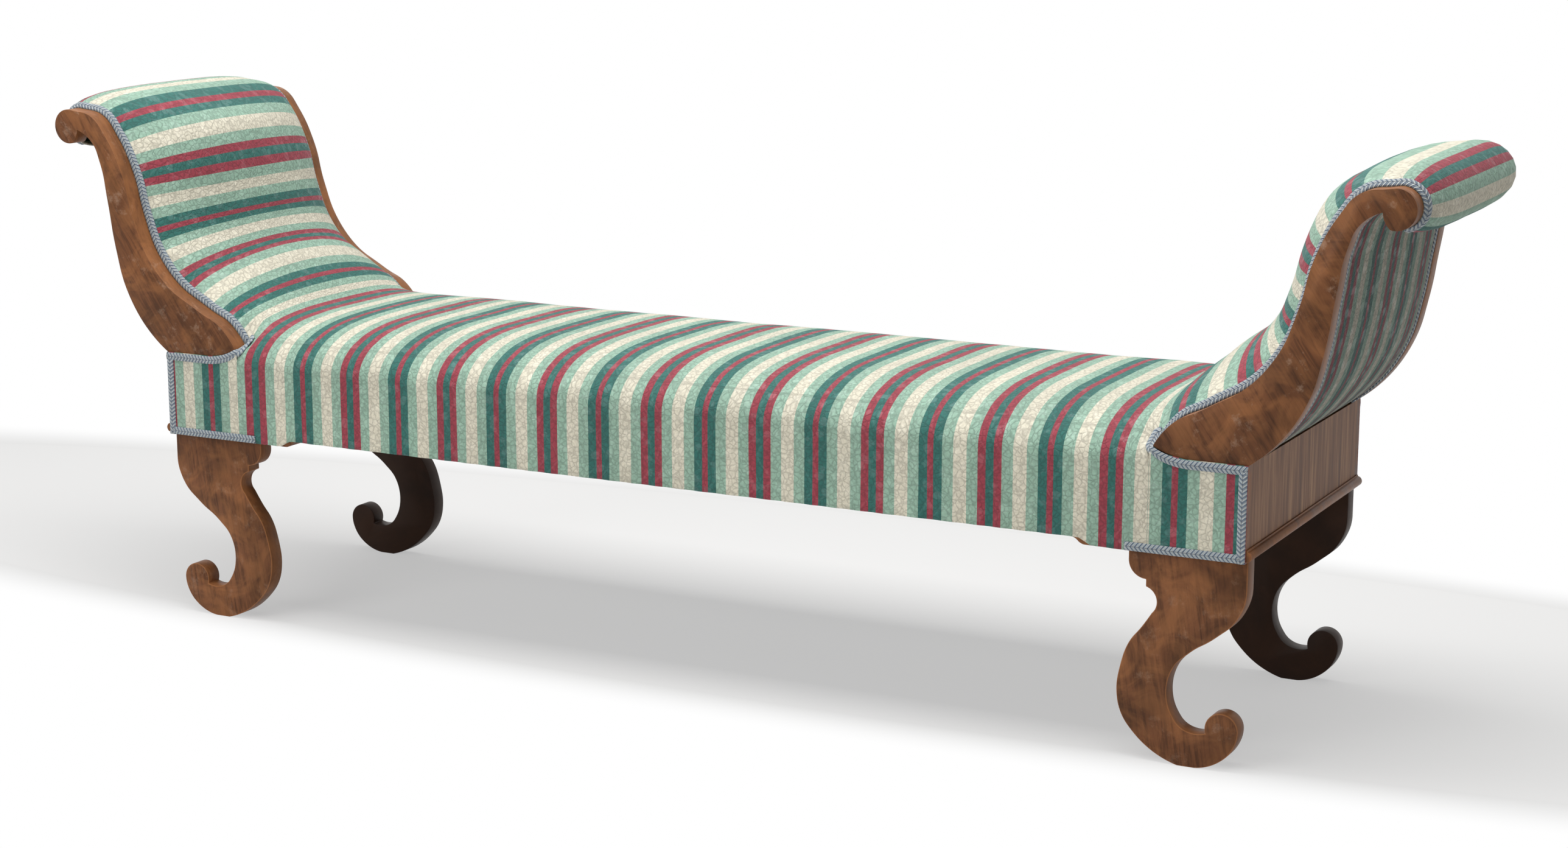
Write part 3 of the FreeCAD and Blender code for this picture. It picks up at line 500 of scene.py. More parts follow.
def woven_damask(settings, name, tone):
    """Cotton and silk damask: satin figure on a ribbed ground, in woven stripes, with painted shade
    in its creases; a tone under 1 darkens all of it as painted shade.
    """
    material, tree, shader = begin(name)
    uv, across, along = on_uv(tree)

    shifted = maths(tree, "SUBTRACT", across, settings.phase)
    turn = maths(tree, "FRACT", maths(tree, "DIVIDE", shifted, settings.repeat))
    whole = sum(width for _, width in STRIPES)
    stops, edge = [], 0.0
    for colour, width in STRIPES:
        stops.append((edge / whole, tuple(getattr(settings, colour))))
        edge += width
    stripes = ramp(tree, turn, stops, "CONSTANT")

    figure = damask_figure(tree, uv, across, along)
    cells = add(tree, "ShaderNodeTexVoronoi", {"feature": "DISTANCE_TO_EDGE"},
                {"Vector": wobbled(tree, uv, 4 * MM), "Scale": 1 / (8 * MM), "Randomness": 1.0})
    crease_and_painted_shade = greys(tree, cells.outputs["Distance"], (0.0, 1.0), (0.16, 0.0))

    # Ribs are drawn 1.8 mm apart, coarser than the real ones, so that they show
    weave = total(tree, (waves(tree, along, 1.8 * MM), 0.6), (waves(tree, across, 1.4 * MM), 0.3))

    light = blend(tree, 0.015, stripes, (1.0, 1.0, 1.0, 1.0))
    dark = blend(tree, 0.07, stripes, (0.0, 0.0, 0.0, 1.0))
    colour = blend(tree, figure, dark, light)
    colour = dimmed(tree, colour, cloudy(tree, uv, 3.5 * MM, 3.0), (0.3, 0.76), (0.7, 1.0))
    # Painted shade: the colour is darkened along the creases between the cells
    colour = dimmed(tree, colour, crease_and_painted_shade, (0.0, 1.0), (1.0, 0.70))
    # Random patches of soiling, and the whole colour multiplied by tone: painted shade where tone
    # is under 1
    soil_and_painted_shade = cloudy(tree, uv, 1 / 6, 4.0)
    colour = dimmed(tree, colour, soil_and_painted_shade, (0.35, 0.88 * tone), (0.65, tone))
    height = total(tree, (figure, 0.45), (weave, 0.25), (cloudy(tree, uv, 22 * MM, 2.0), 2.5),
                   (crease_and_painted_shade, -1.1))
    fill(tree, shader, {"Base Color": colour, "Sheen Weight": 0.05, "Sheen Roughness": 0.45,
                        "Roughness": greys(tree, figure, (0.0, 0.82), (1.0, 0.58)),
                        "Normal": bump(tree, height, 0.55, 0.8 * MM)})
    return material


def chevron_gimp(settings):
    """Rayon and cotton gimp: chevrons of two yarns with dark flecks, and painted shade in the
    groove down its middle.
    """
    material, tree, shader = begin("chevron_gimp_braided")
    uv, along, across = on_uv(tree)
    blue, pale, dark = tuple(settings.blue), tuple(settings.pale), tuple(settings.dark)
    run = maths(tree, "DIVIDE", along, settings.pitch)
    side = maths(tree, "ABSOLUTE", maths(tree, "SUBTRACT", across, 0.5))
    phase = maths(tree, "FRACT", total(tree, (run, 1.0), (side, 1.6)))
    yarn = ramp(tree, phase, ((0.0, blue), (0.42, pale), (0.62, pale), (0.85, blue)))
    flecks = greys(tree, cloudy(tree, uv, 2.2 * MM, 1.0), (0.53, 0.0), (0.60, 0.9))
    groove_and_painted_shade = greys(tree, side, (0.0, 0.7), (0.06, 0.0))
    # Painted shade: the colour is darkened toward the dark yarn in the groove down the middle
    colour = blend(tree, groove_and_painted_shade, blend(tree, flecks, yarn, dark), dark)
    height = total(tree, (waves(tree, phase, 0.5), 1.0), (groove_and_painted_shade, -2.0))
    fill(tree, shader, {"Base Color": colour, "Roughness": 0.75, "Sheen Weight": 0.15,
                        "Normal": bump(tree, height, 0.8, 0.6 * MM)})
    return material


def waxed_walnut(name, lean, main, deep, rubbed, scuffed=0.0):
    """Old walnut, planed and waxed: long grain, cloudy figure and rubbed edges, with painted light
    on the faces that don't face front or back.
    """
    material, tree, shader = begin(name)
    main, deep, rubbed = tuple(main), tuple(deep), tuple(rubbed)
    place = on_object(tree)
    turned = mapped(tree, place, Rotation=(0.0, lean, 0.0))
    long = mapped(tree, turned, Scale=(1.0, 1.0, 0.08))
    grain = cloudy(tree, long, 5 * MM, 6.0, 0.62, 0.6)
    pores = cloudy(tree, long, 1.6 * MM, 2.0)
    figure = cloudy(tree, turned, 55 * MM, 5.0, 0.6, 1.4)
    broad = cloudy(tree, turned, 120 * MM, 2.0, distortion=0.8)
    scuffs = greys(tree, cloudy(tree, place, 38 * MM, 8.0, 0.75), (0.56, 0.0), (0.68, scuffed))
    # The worn attribute is 1 on rubbed bevels (wear) and 0.45 on faces not facing front or back
    # (painted light)
    worn = add(tree, "ShaderNodeAttribute", {"attribute_name": "worn"}).outputs["Fac"]
    colour = blend(tree, greys(tree, grain, (0.4, 0.5), (0.56, 0.0)), main, deep)
    colour = blend(tree, greys(tree, figure, (0.42, 0.0), (0.62, 0.45)), colour, rubbed)
    colour = dimmed(tree, colour, broad, (0.36, 0.56), (0.6, 1.0))
    colour = blend(tree, scuffs, colour, linear("#A98D78"))
    # The rubbed colour over the worn attribute: wear on the bevels, painted light on the faces
    # turned away from front and back
    colour = blend(tree, maths(tree, "MULTIPLY", worn, 0.55), colour, rubbed)
    height = total(tree, (grain, 0.6), (pores, 0.5))
    fill(tree, shader, {"Base Color": colour, "Specular IOR Level": 0.14,
                        "Roughness": greys(tree, figure, (0.3, 0.36), (0.7, 0.5)),
                        "Normal": bump(tree, height, 0.25, 0.4 * MM)})
    return material


def plain_weave(name, colour, dark, pitch):
    """Jute, hessian or cotton in plain weave."""
    material, tree, shader = begin(name)
    place = on_object(tree)
    parts = add(tree, "ShaderNodeSeparateXYZ", inputs={0: place}).outputs
    weave = maths(tree, "MULTIPLY", waves(tree, parts[0], pitch), waves(tree, parts[1], pitch))
    patches = cloudy(tree, place, 9 * MM, 4.0)
    share = maths(tree, "ADD", total(tree, (weave, 0.3), (patches, 0.4)), 0.3)
    fill(tree, shader, {"Base Color": blend(tree, share, linear(dark), linear(colour)),
                        "Roughness": 0.9, "Normal": bump(tree, weave, 0.5, 0.3 * MM)})
    return material


def planed_beech():
    """Beech for the hidden frame, planed and left bare."""
    material, tree, shader = begin("frame_beech_planed")
    grain = cloudy(tree, mapped(tree, on_object(tree), Scale=(0.12, 1.0, 1.0)), 6 * MM, 5.0)
    colour = ramp(tree, grain, ((0.3, linear("#8D6B4A")), (0.7, linear("#C29E74"))))
    fill(tree, shader, {"Base Color": colour, "Roughness": 0.7,
                        "Normal": bump(tree, grain, 0.2, 0.3 * MM)})
    return material


def streaked_veneer(settings):
    """Walnut veneer on the end panels: upright streaks gone grey with age."""
    material, tree, shader = begin("walnut_veneer_aged")
    upright = mapped(tree, on_object(tree), Scale=(1.0, 1.0, 0.05))
    streak = cloudy(tree, upright, 11 * MM, 6.0, 0.65)
    colour = ramp(tree, streak, ((0.3, linear("#4A3022")), (0.5, tuple(settings.veneer)),
                                 (0.72, linear("#A07C5C"))))
    fill(tree, shader, {"Base Color": colour, "Roughness": 0.48, "Specular IOR Level": 0.12,
                        "Normal": bump(tree, streak, 0.15, 0.3 * MM)})
    return material


def material_for(name, make, *parts):
    """The material of that name, made the first time it is asked for."""
    return bpy.data.materials.get(name) or make(*parts)


# A tone under 1 gives a copy of the damask darkened with painted shade
def cloth(name="striped_damask_woven", tone=1.0):
    return material_for(name, woven_damask, bpy.context.scene.recamier_cloth, name, tone)


def gimp():
    return material_for("chevron_gimp_braided", chevron_gimp, bpy.context.scene.recamier_braid)


# The upholstery's surface

class Cushioning:
    """The padded surface from one roll, over the seat, to the other roll."""

    def __init__(self, settings):
        self.settings = settings
        flat_points, turn_points = 60, 16
        edge = SIDE_LINE + (SEAT_TOP - SIDE_LINE) * edge_swell
        flat_end = toe.x + TURN_TO_ARM[0]
        join = next(i for i, p in enumerate(inner_rim) if p[0] > toe.x + TURN_TO_ARM[1])
        start, end = Vector((flat_end, edge)), Vector(inner_rim[join])
        way = (Vector(inner_rim[join + 2]) - end).normalized()
        reach = (end - start).length * 0.4
        turn = [start, start + Vector((reach, 0)), end - way * reach, end]
        points = [Vector((flat_end * i / flat_points, edge)) for i in range(flat_points)]
        points += [self.bezier(turn, i / turn_points) for i in range(turn_points)]
        self.join_x = inner_rim[join][0]
        self.path = Path(points + inner_rim[join:])
        self.stations = round(self.path.length / CELL)
        self.step = self.path.length / self.stations
        self.toe_distance = next(flat_end + i * MM for i in range(99)
                                 if self.path.at(flat_end + i * MM).x >= toe.x)
        self.stripe_marks = self.count_cloth()

    @staticmethod
    def bezier(turn, t):
        """A point of the curve that leads from the flat seat into the board's edge."""
        a, b, c, d = turn
        return a * (1 - t) ** 3 + b * 3 * t * (1 - t) ** 2 + c * 3 * t * t * (1 - t) + d * t ** 3

    def near_end(self, distance, band):
        """A smooth step over a band of distances past the end of the roll."""
        return ease(distance, self.path.length + band[0], self.path.length + band[1])

    def crown(self, distance):
        """How far the middle of the padding stands over its edges."""
        s = self.settings
        height = mix(s.seat_crown, s.arm_crown, past_toe(distance, CROWN_GROWS))
        height = mix(height, s.roll_crown, self.near_end(distance, ROLL_BEGINS))
        return mix(height, s.roll_crown * 0.6, self.near_end(distance, ROLL_TUCKED_IN))

    def share(self, distance, y):
        """How much of the crown stands at this depth."""
        seat = (swell(y / face_out, SEAT_SWELL) - edge_swell) / (1 - edge_swell)
        arm = mix(swell(y / depth_inside, ARM_SWELL), swell(y / depth_inside, ROLL_SWELL),
                  self.near_end(distance, ROLL_BEGINS))
        return mix(seat, arm, past_toe(distance, SECTION_CHANGES))

    def at(self, side, distance, y):
        """A point of the surface, at a distance from the middle of the seat."""
        raised = self.path.out(distance) * (self.crown(distance) * self.share(distance, y))
        point = lay(side, self.path.at(distance) + raised, y)
        point.z -= self.drawn_down(distance, y)
        return point

    def drawn_down(self, distance, y):
        """How far the cloth is pulled down to the board's inner edge, beside the toe."""
        base = self.path.at(distance)
        if not toe.x + DRAWN_BEGINS[0] < base.x < self.join_x:
            return 0.0
        drop = max(base.y - rim_height(max(base.x, toe.x + 0.5 * MM)), 0.0)
        if abs(y) <= depth_inside:
            share = 1 - ease(depth_inside - abs(y), 0.0, 40 * MM)
        else:
            share = (swell(y / face_out, SEAT_SWELL) / edge_swell) ** 3
        return drop * share * past_toe(base.x, DRAWN_BEGINS)

    def count_cloth(self):
        """How much cloth has been used at each station, from the middle of the seat.

        On the arms the padding's hollow takes up less of it than the boards' edge is
        long, and on the roll it goes round the crown.
        """
        marks = [0.0]
        for i in range(self.stations):
            here, there = self.at(1, i * self.step, 0.0), self.at(1, (i + 1) * self.step, 0.0)
            middle = (i + 0.5) * self.step
            rate = mix(1.0, HOLLOW_RATE, past_toe(middle, HOLLOW_BEGINS))
            marks.append(marks[-1] + mix(self.step * rate, (there - here).length,
                                         self.near_end(middle, ROLL_CLOTH_BEGINS)))
        return marks

    def stripe(self, side, distance):
        """Where a distance falls on the cloth, from the middle of the seat."""
        place = distance / self.path.length * self.stations
        low = min(int(place), self.stations - 1)
        tucked = 0.0
        for (start, less), (end, more) in zip(TUCKS[side], TUCKS[side][1:]):
            if distance > start:
                tucked = mix(less, more, min((distance - start) / (end - start), 1.0))
        return mix(self.stripe_marks[low], self.stripe_marks[low + 1], place - low) + tucked

    def last_seat_station(self):
        """How far out the last row of squares of the seat's front lies."""
        return math.floor((toe.x - 2 * MM) / self.step) * self.step


def fold_depth(z):
    """How far from the middle the seat's front lies at a height above its turn."""
    if z <= SIDE_LINE:
        return face_out
    height = min((z - SIDE_LINE) / (SEAT_TOP - SIDE_LINE), 1.0)
    share = (1 - height ** (1 / SEAT_SWELL[1])) ** (1 / SEAT_SWELL[0])
    return max(share * face_out, depth_inside)


def uneven(point, amount):
    """A small, smooth unevenness, the same wherever two pieces of cloth meet."""
    broad, fine = 7.0, 23.0
    return noise.noise(point * broad) * amount + noise.noise(point * fine) * amount * 0.35


def tacked(distance, amount):
    """Small puckers between tacks, which wander as hand-set tacks do."""
    wander = noise.noise(Vector((distance * 9.0, 3.7, 0.0))) * 1.3
    return amount * math.cos(2 * math.pi * distance / TACK_PITCH + wander * math.pi)


def seat_side(turn_rows, fall_rows, row, foot):
    """Depth and height down the seat's front, from the line of the boards to the rail's foot."""
    if row <= turn_rows:
        angle = mix(math.asin(depth_inside / face_out), math.pi / 2, row / turn_rows)
        share = math.sin(angle)
        return share * face_out, SIDE_LINE + (SEAT_TOP - SIDE_LINE) * swell(share, SEAT_SWELL)
    return face_out, mix(SIDE_LINE, foot, (row - turn_rows) / fall_rows)


class RECAMIER_OT_upholstery(bpy.types.Operator):
    """Makes the seat and the padded arms with their rolls"""

    bl_idname = "recamier.upholstery"
    bl_label = "Seat and arms"

    def execute(self, context):
        shape = Cushioning(context.scene.recamier_cloth)
        stations = shape.stations
        half_rows, turn_rows, fall_rows, hem_rows = 28, 12, 14, 8
        side_rows = turn_rows + fall_rows
        rows = 2 * (half_rows + side_rows)
        seat_end = shape.last_seat_station() + 0.1 * MM
        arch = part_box("under_cloth")[1].z
        arch_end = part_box("leg_front_right")[0].x - 55 * MM

        def distance_of(column):
            return abs(column - stations) / stations * shape.path.length

        def keep(column, row):
            outside = abs(row - rows / 2) - half_rows
            turned_in = 32 * MM if outside <= turn_rows else 0.0
            return outside <= 0 or distance_of(column) <= seat_end + turned_in

        def on_top(side, distance, y):
            point, inside = shape.at(side, distance, y), depth_inside - abs(y)
            edge = 1 - ease(inside, 4 * MM, 34 * MM)
            lift = uneven(point, 1.3 * MM) + edge * tacked(distance, 0.7 * MM)
            lift *= ease(inside, 4 * MM, 20 * MM)
            return point + lay(side, shape.path.out(distance)) * lift

        def place(column, row):
            distance = distance_of(column)
            side = 1 if column >= stations else -1
            from_middle = row - rows / 2
            face = 1 if from_middle >= 0 else -1
            outside = abs(from_middle) - half_rows
            if outside >= turn_rows and 0.5 * MM < seat_end - distance < 1.5 * shape.step:
                distance = seat_end - JOINT
            cloth_u = side * shape.stripe(side, distance)
            if outside <= 0:
                y = depth_inside * math.sin(from_middle / half_rows * math.pi / 2)
                return on_top(side, distance, y), (cloth_u, y * CLOTH_ACROSS)
            foot = mix(arch, rail_foot, ease(distance, arch_end, arch_end + 22 * MM))
            y, z = seat_side(turn_rows, fall_rows, outside, foot)
            if outside < turn_rows:
                z -= shape.drawn_down(distance, y)
            if distance > seat_end:
                y = depth_inside + 0.3 * MM
                top = shape.at(1, distance, depth_inside).z
                z = mix(top, rim_height(distance) - 4 * MM, outside / turn_rows)
            point = Vector((side * distance, face * y, z))
            if outside > turn_rows:
                hem = ease(outside, side_rows - hem_rows, side_rows)
                loose = 1 - ease(distance, seat_end - 60 * MM, seat_end)
                point.y += face * loose * (uneven(point, 0.9 * MM)
                                           + hem * tacked(distance, 0.8 * MM))
            return point, (cloth_u, face * down_front(z))

        bm = quilt(2 * stations, rows, place, keep)
        piece = finished(bm, "seat_and_arms_cover", cloth())
        thickened(piece, "Cloth", 3 * MM)
        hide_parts("seat_cover", "seat_stuffing", "arm_cover_left", "arm_cover_right",
                    "arm_stuffing_left", "arm_stuffing_right")
        return {"FINISHED"}


class RECAMIER_OT_falls(bpy.types.Operator):
    """Makes the cloth on the rails under the arm boards"""

    bl_idname = "recamier.falls"
    bl_label = "Cloth under the boards"

    def execute(self, context):
        columns, rows = 16, 16
        under_toe, toe_curve = 6 * MM, (0.0, 53 * MM)
        start, end = Cushioning(context.scene.recamier_cloth).last_seat_station(), half_span
        for face_name, face in FACES:
            for name, side in SIDES:
                def place(column, row):
                    x = start + JOINT if column == 1 else mix(start, end, column / columns)
                    top = rail_top + under_toe * (1 - past_toe(x, toe_curve))
                    z = mix(rail_foot, top, row / rows)
                    return (Vector((side * x, face * face_out, z)),
                            (side * x, face * down_front(z)))

                bm = quilt(columns, rows, place, outward=Vector((0, face, 0)))
                piece = finished(bm, "cloth_under_board_%s_%s" % (face_name, name), cloth())
                thickened(piece, "Cloth", 1.5 * MM)
        return {"FINISHED"}


class RECAMIER_OT_outside(bpy.types.Operator):
    """Makes the covers that close the backs of the arms, in damask darkened with painted shade"""

    bl_idname = "recamier.outside"
    bl_label = "Outside covers"

    def execute(self, context):
        path = Path(outer_rim)
        columns, rows = round(path.length / CELL), 40
        set_in, belly = 3 * MM, 7 * MM
        for name, side in SIDES:
            def place(column, row):
                distance = mix(4 * MM, path.length, column / columns)
                y = mix(-depth_inside, depth_inside, row / rows)
                full = swell(y / depth_inside, OUTSIDE_SWELL) * math.sin(math.pi * column / columns)
                point = path.at(distance) + path.out(distance) * (belly * full - set_in)
                return lay(side, point, y), (y, distance)

            bm = quilt(columns, rows, place, outward=Vector((side, 0, 0)))
            # Painted shade: the outside covers use the damask at about half its brightness, as if
            # they were in shade
            piece = finished(bm, "outside_cover_cloth_" + name,
                             cloth("striped_damask_soiled", 0.52))
            thickened(piece, "Cloth", 2.5 * MM)
            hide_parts("outside_cover_" + name)
        return {"FINISHED"}


# Gimp

def braid(stations, settings):
    """A strip of gimp: each station gives its two edges' points and the way up off the cloth."""
    rows = 6
    marks = [0.0]
    for a, b in zip(stations, stations[1:]):
        marks.append(marks[-1] + (b[0] + b[1] - a[0] - a[1]).length / 2)

    def place(column, row):
        low, high, up = stations[column]
        share = row / rows
        rounded = 1 - abs(2 * share - 1) ** 4
        point = low.lerp(high, share) + up * (settings.thickness * (0.35 + 0.65 * rounded))
        return point, (marks[column], share)

    return quilt(len(stations) - 1, rows, place, outward=stations[len(stations) // 2][2])


def gimp_piece(name, strips, settings, node):
    """One piece from several strips, in the place of a packed one."""
    bm = bmesh.new()
    for strip in strips:
        mesh = bpy.data.meshes.new("strip")
        made = braid(strip, settings)
        made.to_mesh(mesh)
        made.free()
        bm.from_mesh(mesh)
        bpy.data.meshes.remove(mesh)
    piece = finished(bm, name, gimp())
    thickened(piece, "Braid", settings.thickness * 0.8)
    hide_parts(node)


class RECAMIER_OT_gimp(bpy.types.Operator):
    """Makes the gimp along the padding, the rails and the outside covers"""

    bl_idname = "recamier.gimp"
    bl_label = "Gimp"

    def execute(self, context):
        settings = context.scene.recamier_braid
        shape = Cushioning(context.scene.recamier_cloth)
        for name, side in SIDES:
            strips = [self.along_arm(shape, side, face, settings.width) for _, face in FACES]
            gimp_piece("gimp_braid_arm_" + name, strips, settings, "gimp_arm_" + name)
            strips = [self.along_outside(side, face, settings.width) for _, face in FACES]
            gimp_piece("gimp_braid_outside_" + name, strips, settings, "gimp_outside_" + name)
        for face_name, face in FACES:
            strips = []
            for _, side in SIDES:
                strips += self.on_rail(shape, side, face, settings.width)
            gimp_piece("gimp_braid_" + face_name, strips, settings, "gimp_" + face_name)
        return {"FINISHED"}

    @staticmethod
    def on_padding(shape, side, face, distance, width):
        """The strip's edges at a distance along the padding, and the way up off the cloth."""
        low = high = shape.at(side, distance, face * depth_inside)
        inward, run = depth_inside, 0.0
        while run < width:
            inward -= 0.5 * MM
            here = shape.at(side, distance, face * inward)
            run += (here - high).length
            high = here
        further = shape.at(side, distance + 3 * MM, face * depth_inside)
        up = (further - low).cross(high - low).normalized()
        return low, high, -up if up.dot(lay(side, shape.path.out(distance))) < 0 else up

    def along_arm(self, shape, side, face, width):
        """Over the edge of the padding, from the toe to the end of the roll."""
        start, end = shape.toe_distance, shape.path.length
        count = round((end - start) / GIMP_STEP)
        return [self.on_padding(shape, side, face, mix(start, end, i / count), width)
                for i in range(count + 1)]

    @staticmethod
    def along_outside(side, face, width):
        """Down the edge of the outside cover, beside the board."""
        path = Path(outer_rim)
        count = round(path.length / GIMP_STEP)
        stations = []
        for i in range(count + 1):
            distance = mix(8 * MM, path.length, i / count)
            way = path.out(distance)
            point = path.at(distance) - way * (2.5 * MM)
            stations.append((lay(side, point, face * depth_inside),
                             lay(side, point, face * (depth_inside - width)), lay(side, way)))
        return stations

    @staticmethod
    def round_toe(shape, side, face, width):
        """From the board's heel along its underside, round its toe and up to the arm's strip."""
        front, upward = Vector((0, face, 0)), Vector((0, 0, 1))
        gap, spacing, reach = 0.5 * MM, 3 * MM, 6 * MM
        fan, fold, corner = 6, 8, 6
        rim = Path(under_rim)

        def on_front(base, way):
            low, high = base + way * gap, base + way * (gap + width)
            return (lay(side, low, face * face_out),
                    lay(side, high, face * fold_depth(high.y)), front)

        stations = []
        for i in range(round(rim.length / spacing) + 1):
            distance = min(i * spacing, rim.length)
            stations.append(on_front(rim.at(distance), rim.out(distance, reach)))

        # A fan round the tip, from the underside's way out to straight inwards
        last = rim.out(rim.length, reach)
        turn = math.atan2(last.y, last.x)
        turn -= 2 * math.pi if turn > 0 else 0.0
        for i in range(1, fan + 1):
            angle = mix(turn, -math.pi, i / fan)
            low, high, up = on_front(toe, Vector((math.cos(angle), math.sin(angle))))
            low.y = face * mix(face_out, fold_depth(toe.y), i / fan)
            stations.append((low, high, up))

        # Up over the fold of the seat's front
        for row in range(fold, -1, -1):
            y, z = seat_side(fold, 1, row, 0.0)
            low, high = (Vector((side * x, face * y, z - shape.drawn_down(x, y)))
                         for x in (toe.x - gap, toe.x - gap - width))
            if low.z > toe.y - MM:
                low.z, high.z = max(low.z, toe.y), max(high.z, toe.y)
                stations.append((low, high, upward.lerp(front, row / fold).normalized()))

        # A corner on the padding, where the arm's strip begins
        for i in range(1, corner + 1):
            angle = math.radians(90 * i / corner)
            away, inward = (gap + width) * math.cos(angle), (gap + width) * math.sin(angle)
            low, high = (shape.at(side, shape.toe_distance - away * share,
                                  face * (depth_inside - inward * share)) for share in (0.05, 1.0))
            stations.append((low + upward * (1.5 * MM), high + upward * (2.5 * MM), upward))
        return stations

    def on_rail(self, shape, side, face, width):
        """Under the board from its heel to its toe, down the rail's end and over the leg."""
        tuck = width * 0.6
        leg_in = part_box("leg_front_right")[0].x + 12 * MM

        def at(x, z):
            return Vector((side * x, face * face_out, z))

        def straight(start, end, count, edges):
            return [(*edges(mix(start, end, i / count)), Vector((0, face, 0)))
                    for i in range(count + 1)]

        down_end = straight(rail_top - tuck, rail_foot, 20,
                            lambda z: (at(half_span, z), at(half_span - width, z)))
        over_leg = straight(half_span - tuck, leg_in, 26,
                            lambda x: (at(x, rail_foot + width), at(x, rail_foot)))
        return [self.round_toe(shape, side, face, width), down_end, over_leg]


# Woodwork

def softened(name, material, width):
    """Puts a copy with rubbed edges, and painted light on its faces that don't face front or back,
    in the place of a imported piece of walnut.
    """
    flat, sharp, smooth = math.radians(0.5), math.radians(40), math.radians(32)
    bm = bmesh.new()
    bm.from_mesh(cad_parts[name].data)
    bmesh.ops.remove_doubles(bm, verts=bm.verts, dist=WELD)
    bmesh.ops.dissolve_limit(bm, angle_limit=flat, verts=bm.verts, edges=bm.edges)
    worn = bm.faces.layers.float.new("worn")
    edges = [e for e in bm.edges if len(e.link_faces) == 2 and e.calc_face_angle(0.0) > sharp]
    made = bmesh.ops.bevel(bm, geom=edges, offset=width, affect="EDGES", segments=2,
                           profile=0.5, material=-1, clamp_overlap=True)
    for face in bm.faces:
        # Painted light: faces not facing front or back are lightened to 0.45; the bevel faces below
        # are real rubbed edges
        face[worn] = 0.0 if abs(face.normal.y) > 0.7 else 0.45
    for face in made["faces"]:
        face[worn] = 1.0
    piece = finished(bm, name + "_shaped", material)
    piece.data.set_sharp_from_angle(angle=smooth)
    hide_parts(name)


class RECAMIER_OT_woodwork(bpy.types.Operator):
    """Finishes the legs, the arm boards, the end panels and their mouldings"""

    bl_idname = "recamier.woodwork"
    bl_label = "Show wood"

    def execute(self, context):
        wood = context.scene.recamier_wood
        upright, leaning = 0.15, 0.6
        # Painted shade: the back legs get walnut at about a quarter of its brightness, as if in
        # shade under the seat
        shade = [0.24 * part for part in wood.brown[:3]] + [1.0]
        legs = waxed_walnut("walnut_waxed_leg", upright, wood.brown, wood.deep, wood.rubbed, 0.2)
        boards = waxed_walnut("walnut_waxed_board", leaning, wood.brown, wood.deep, wood.rubbed,
                              0.4)
        dark = waxed_walnut("walnut_waxed_dark", upright, shade, shade, wood.deep)
        for face_name, _ in FACES:
            for name, _ in SIDES:
                # The back legs take the walnut with painted shade
                softened("leg_%s_%s" % (face_name, name), legs if face_name == "front" else dark,
                         wood.arris)
                softened("arm_board_%s_%s" % (face_name, name), boards, wood.arris)
        give(streaked_veneer(wood), "end_rail_left", "end_rail_right")
        for name, _ in SIDES:
            softened("bead_" + name, legs, 0.4 * MM)
        give(legs, "front_rail", "back_rail")
        return {"FINISHED"}


class RECAMIER_OT_inside(bpy.types.Operator):
    """Finishes the hidden frame, the webbing and the cloth under the seat"""

    bl_idname = "recamier.inside"
    bl_label = "Frame inside"

    def execute(self, context):
        give(planed_beech(), "corner_blocks", "cross_brace_left", "cross_brace_right",
             "roll_rail_left", "roll_rail_right", "middle_rail_left", "middle_rail_right",
             "lower_rail_left", "lower_rail_right", "leg_dowels", "board_dowels")
        give(plain_weave("webbing_jute", "#8E7A58", "#5D4C34", 3 * MM),
             "cross_webbing", "long_webbing", "arm_webbing_left", "arm_webbing_right")
        give(plain_weave("hessian_jute", "#A88C60", "#6E5838", 2 * MM),
             "seat_hessian", "arm_hessian_left", "arm_hessian_right")
        self.bottoming(plain_weave("bottoming_cotton_plain", "#2A2A2A", "#141414", 2 * MM))
        return {"FINISHED"}

    @staticmethod
    def bottoming(material):
        """Black cotton tacked under the rails, sagging a little between its tacks."""
        low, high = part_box("under_cloth")
        columns, rows = 180, 60
        sag, pulled, tack_pitch = 4 * MM, 0.8 * MM, 60 * MM

        def place(column, row):
            x = mix(low.x, high.x, column / columns)
            y = mix(low.y, high.y, row / rows)
            edge = min(x - low.x, high.x - x, y - low.y, high.y - y)
            along = x if abs(y) > abs(high.y) - edge - MM else y
            pull = math.sin(math.pi * along / tack_pitch) ** 2
            drop = sag * ease(edge, 0.0, 120 * MM)
            drop += pulled * pull * (1 - ease(edge, 8 * MM, 45 * MM))
            return Vector((x, y, high.z - 0.5 * MM - drop)), (x, y)

        piece = finished(quilt(columns, rows, place), "bottoming_cloth", material)
        thickened(piece, "Cloth", 0.6 * MM)
        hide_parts("under_cloth")


# The studio

def background_ray(tree):
    """1 for a ray that comes from the camera, or by way of a reflection or through glass."""
    path = add(tree, "ShaderNodeLightPath").outputs
    mirrored = maths(tree, "MAXIMUM", path["Is Glossy Ray"], path["Is Transmission Ray"])
    return maths(tree, "MAXIMUM", path["Is Camera Ray"], mirrored)


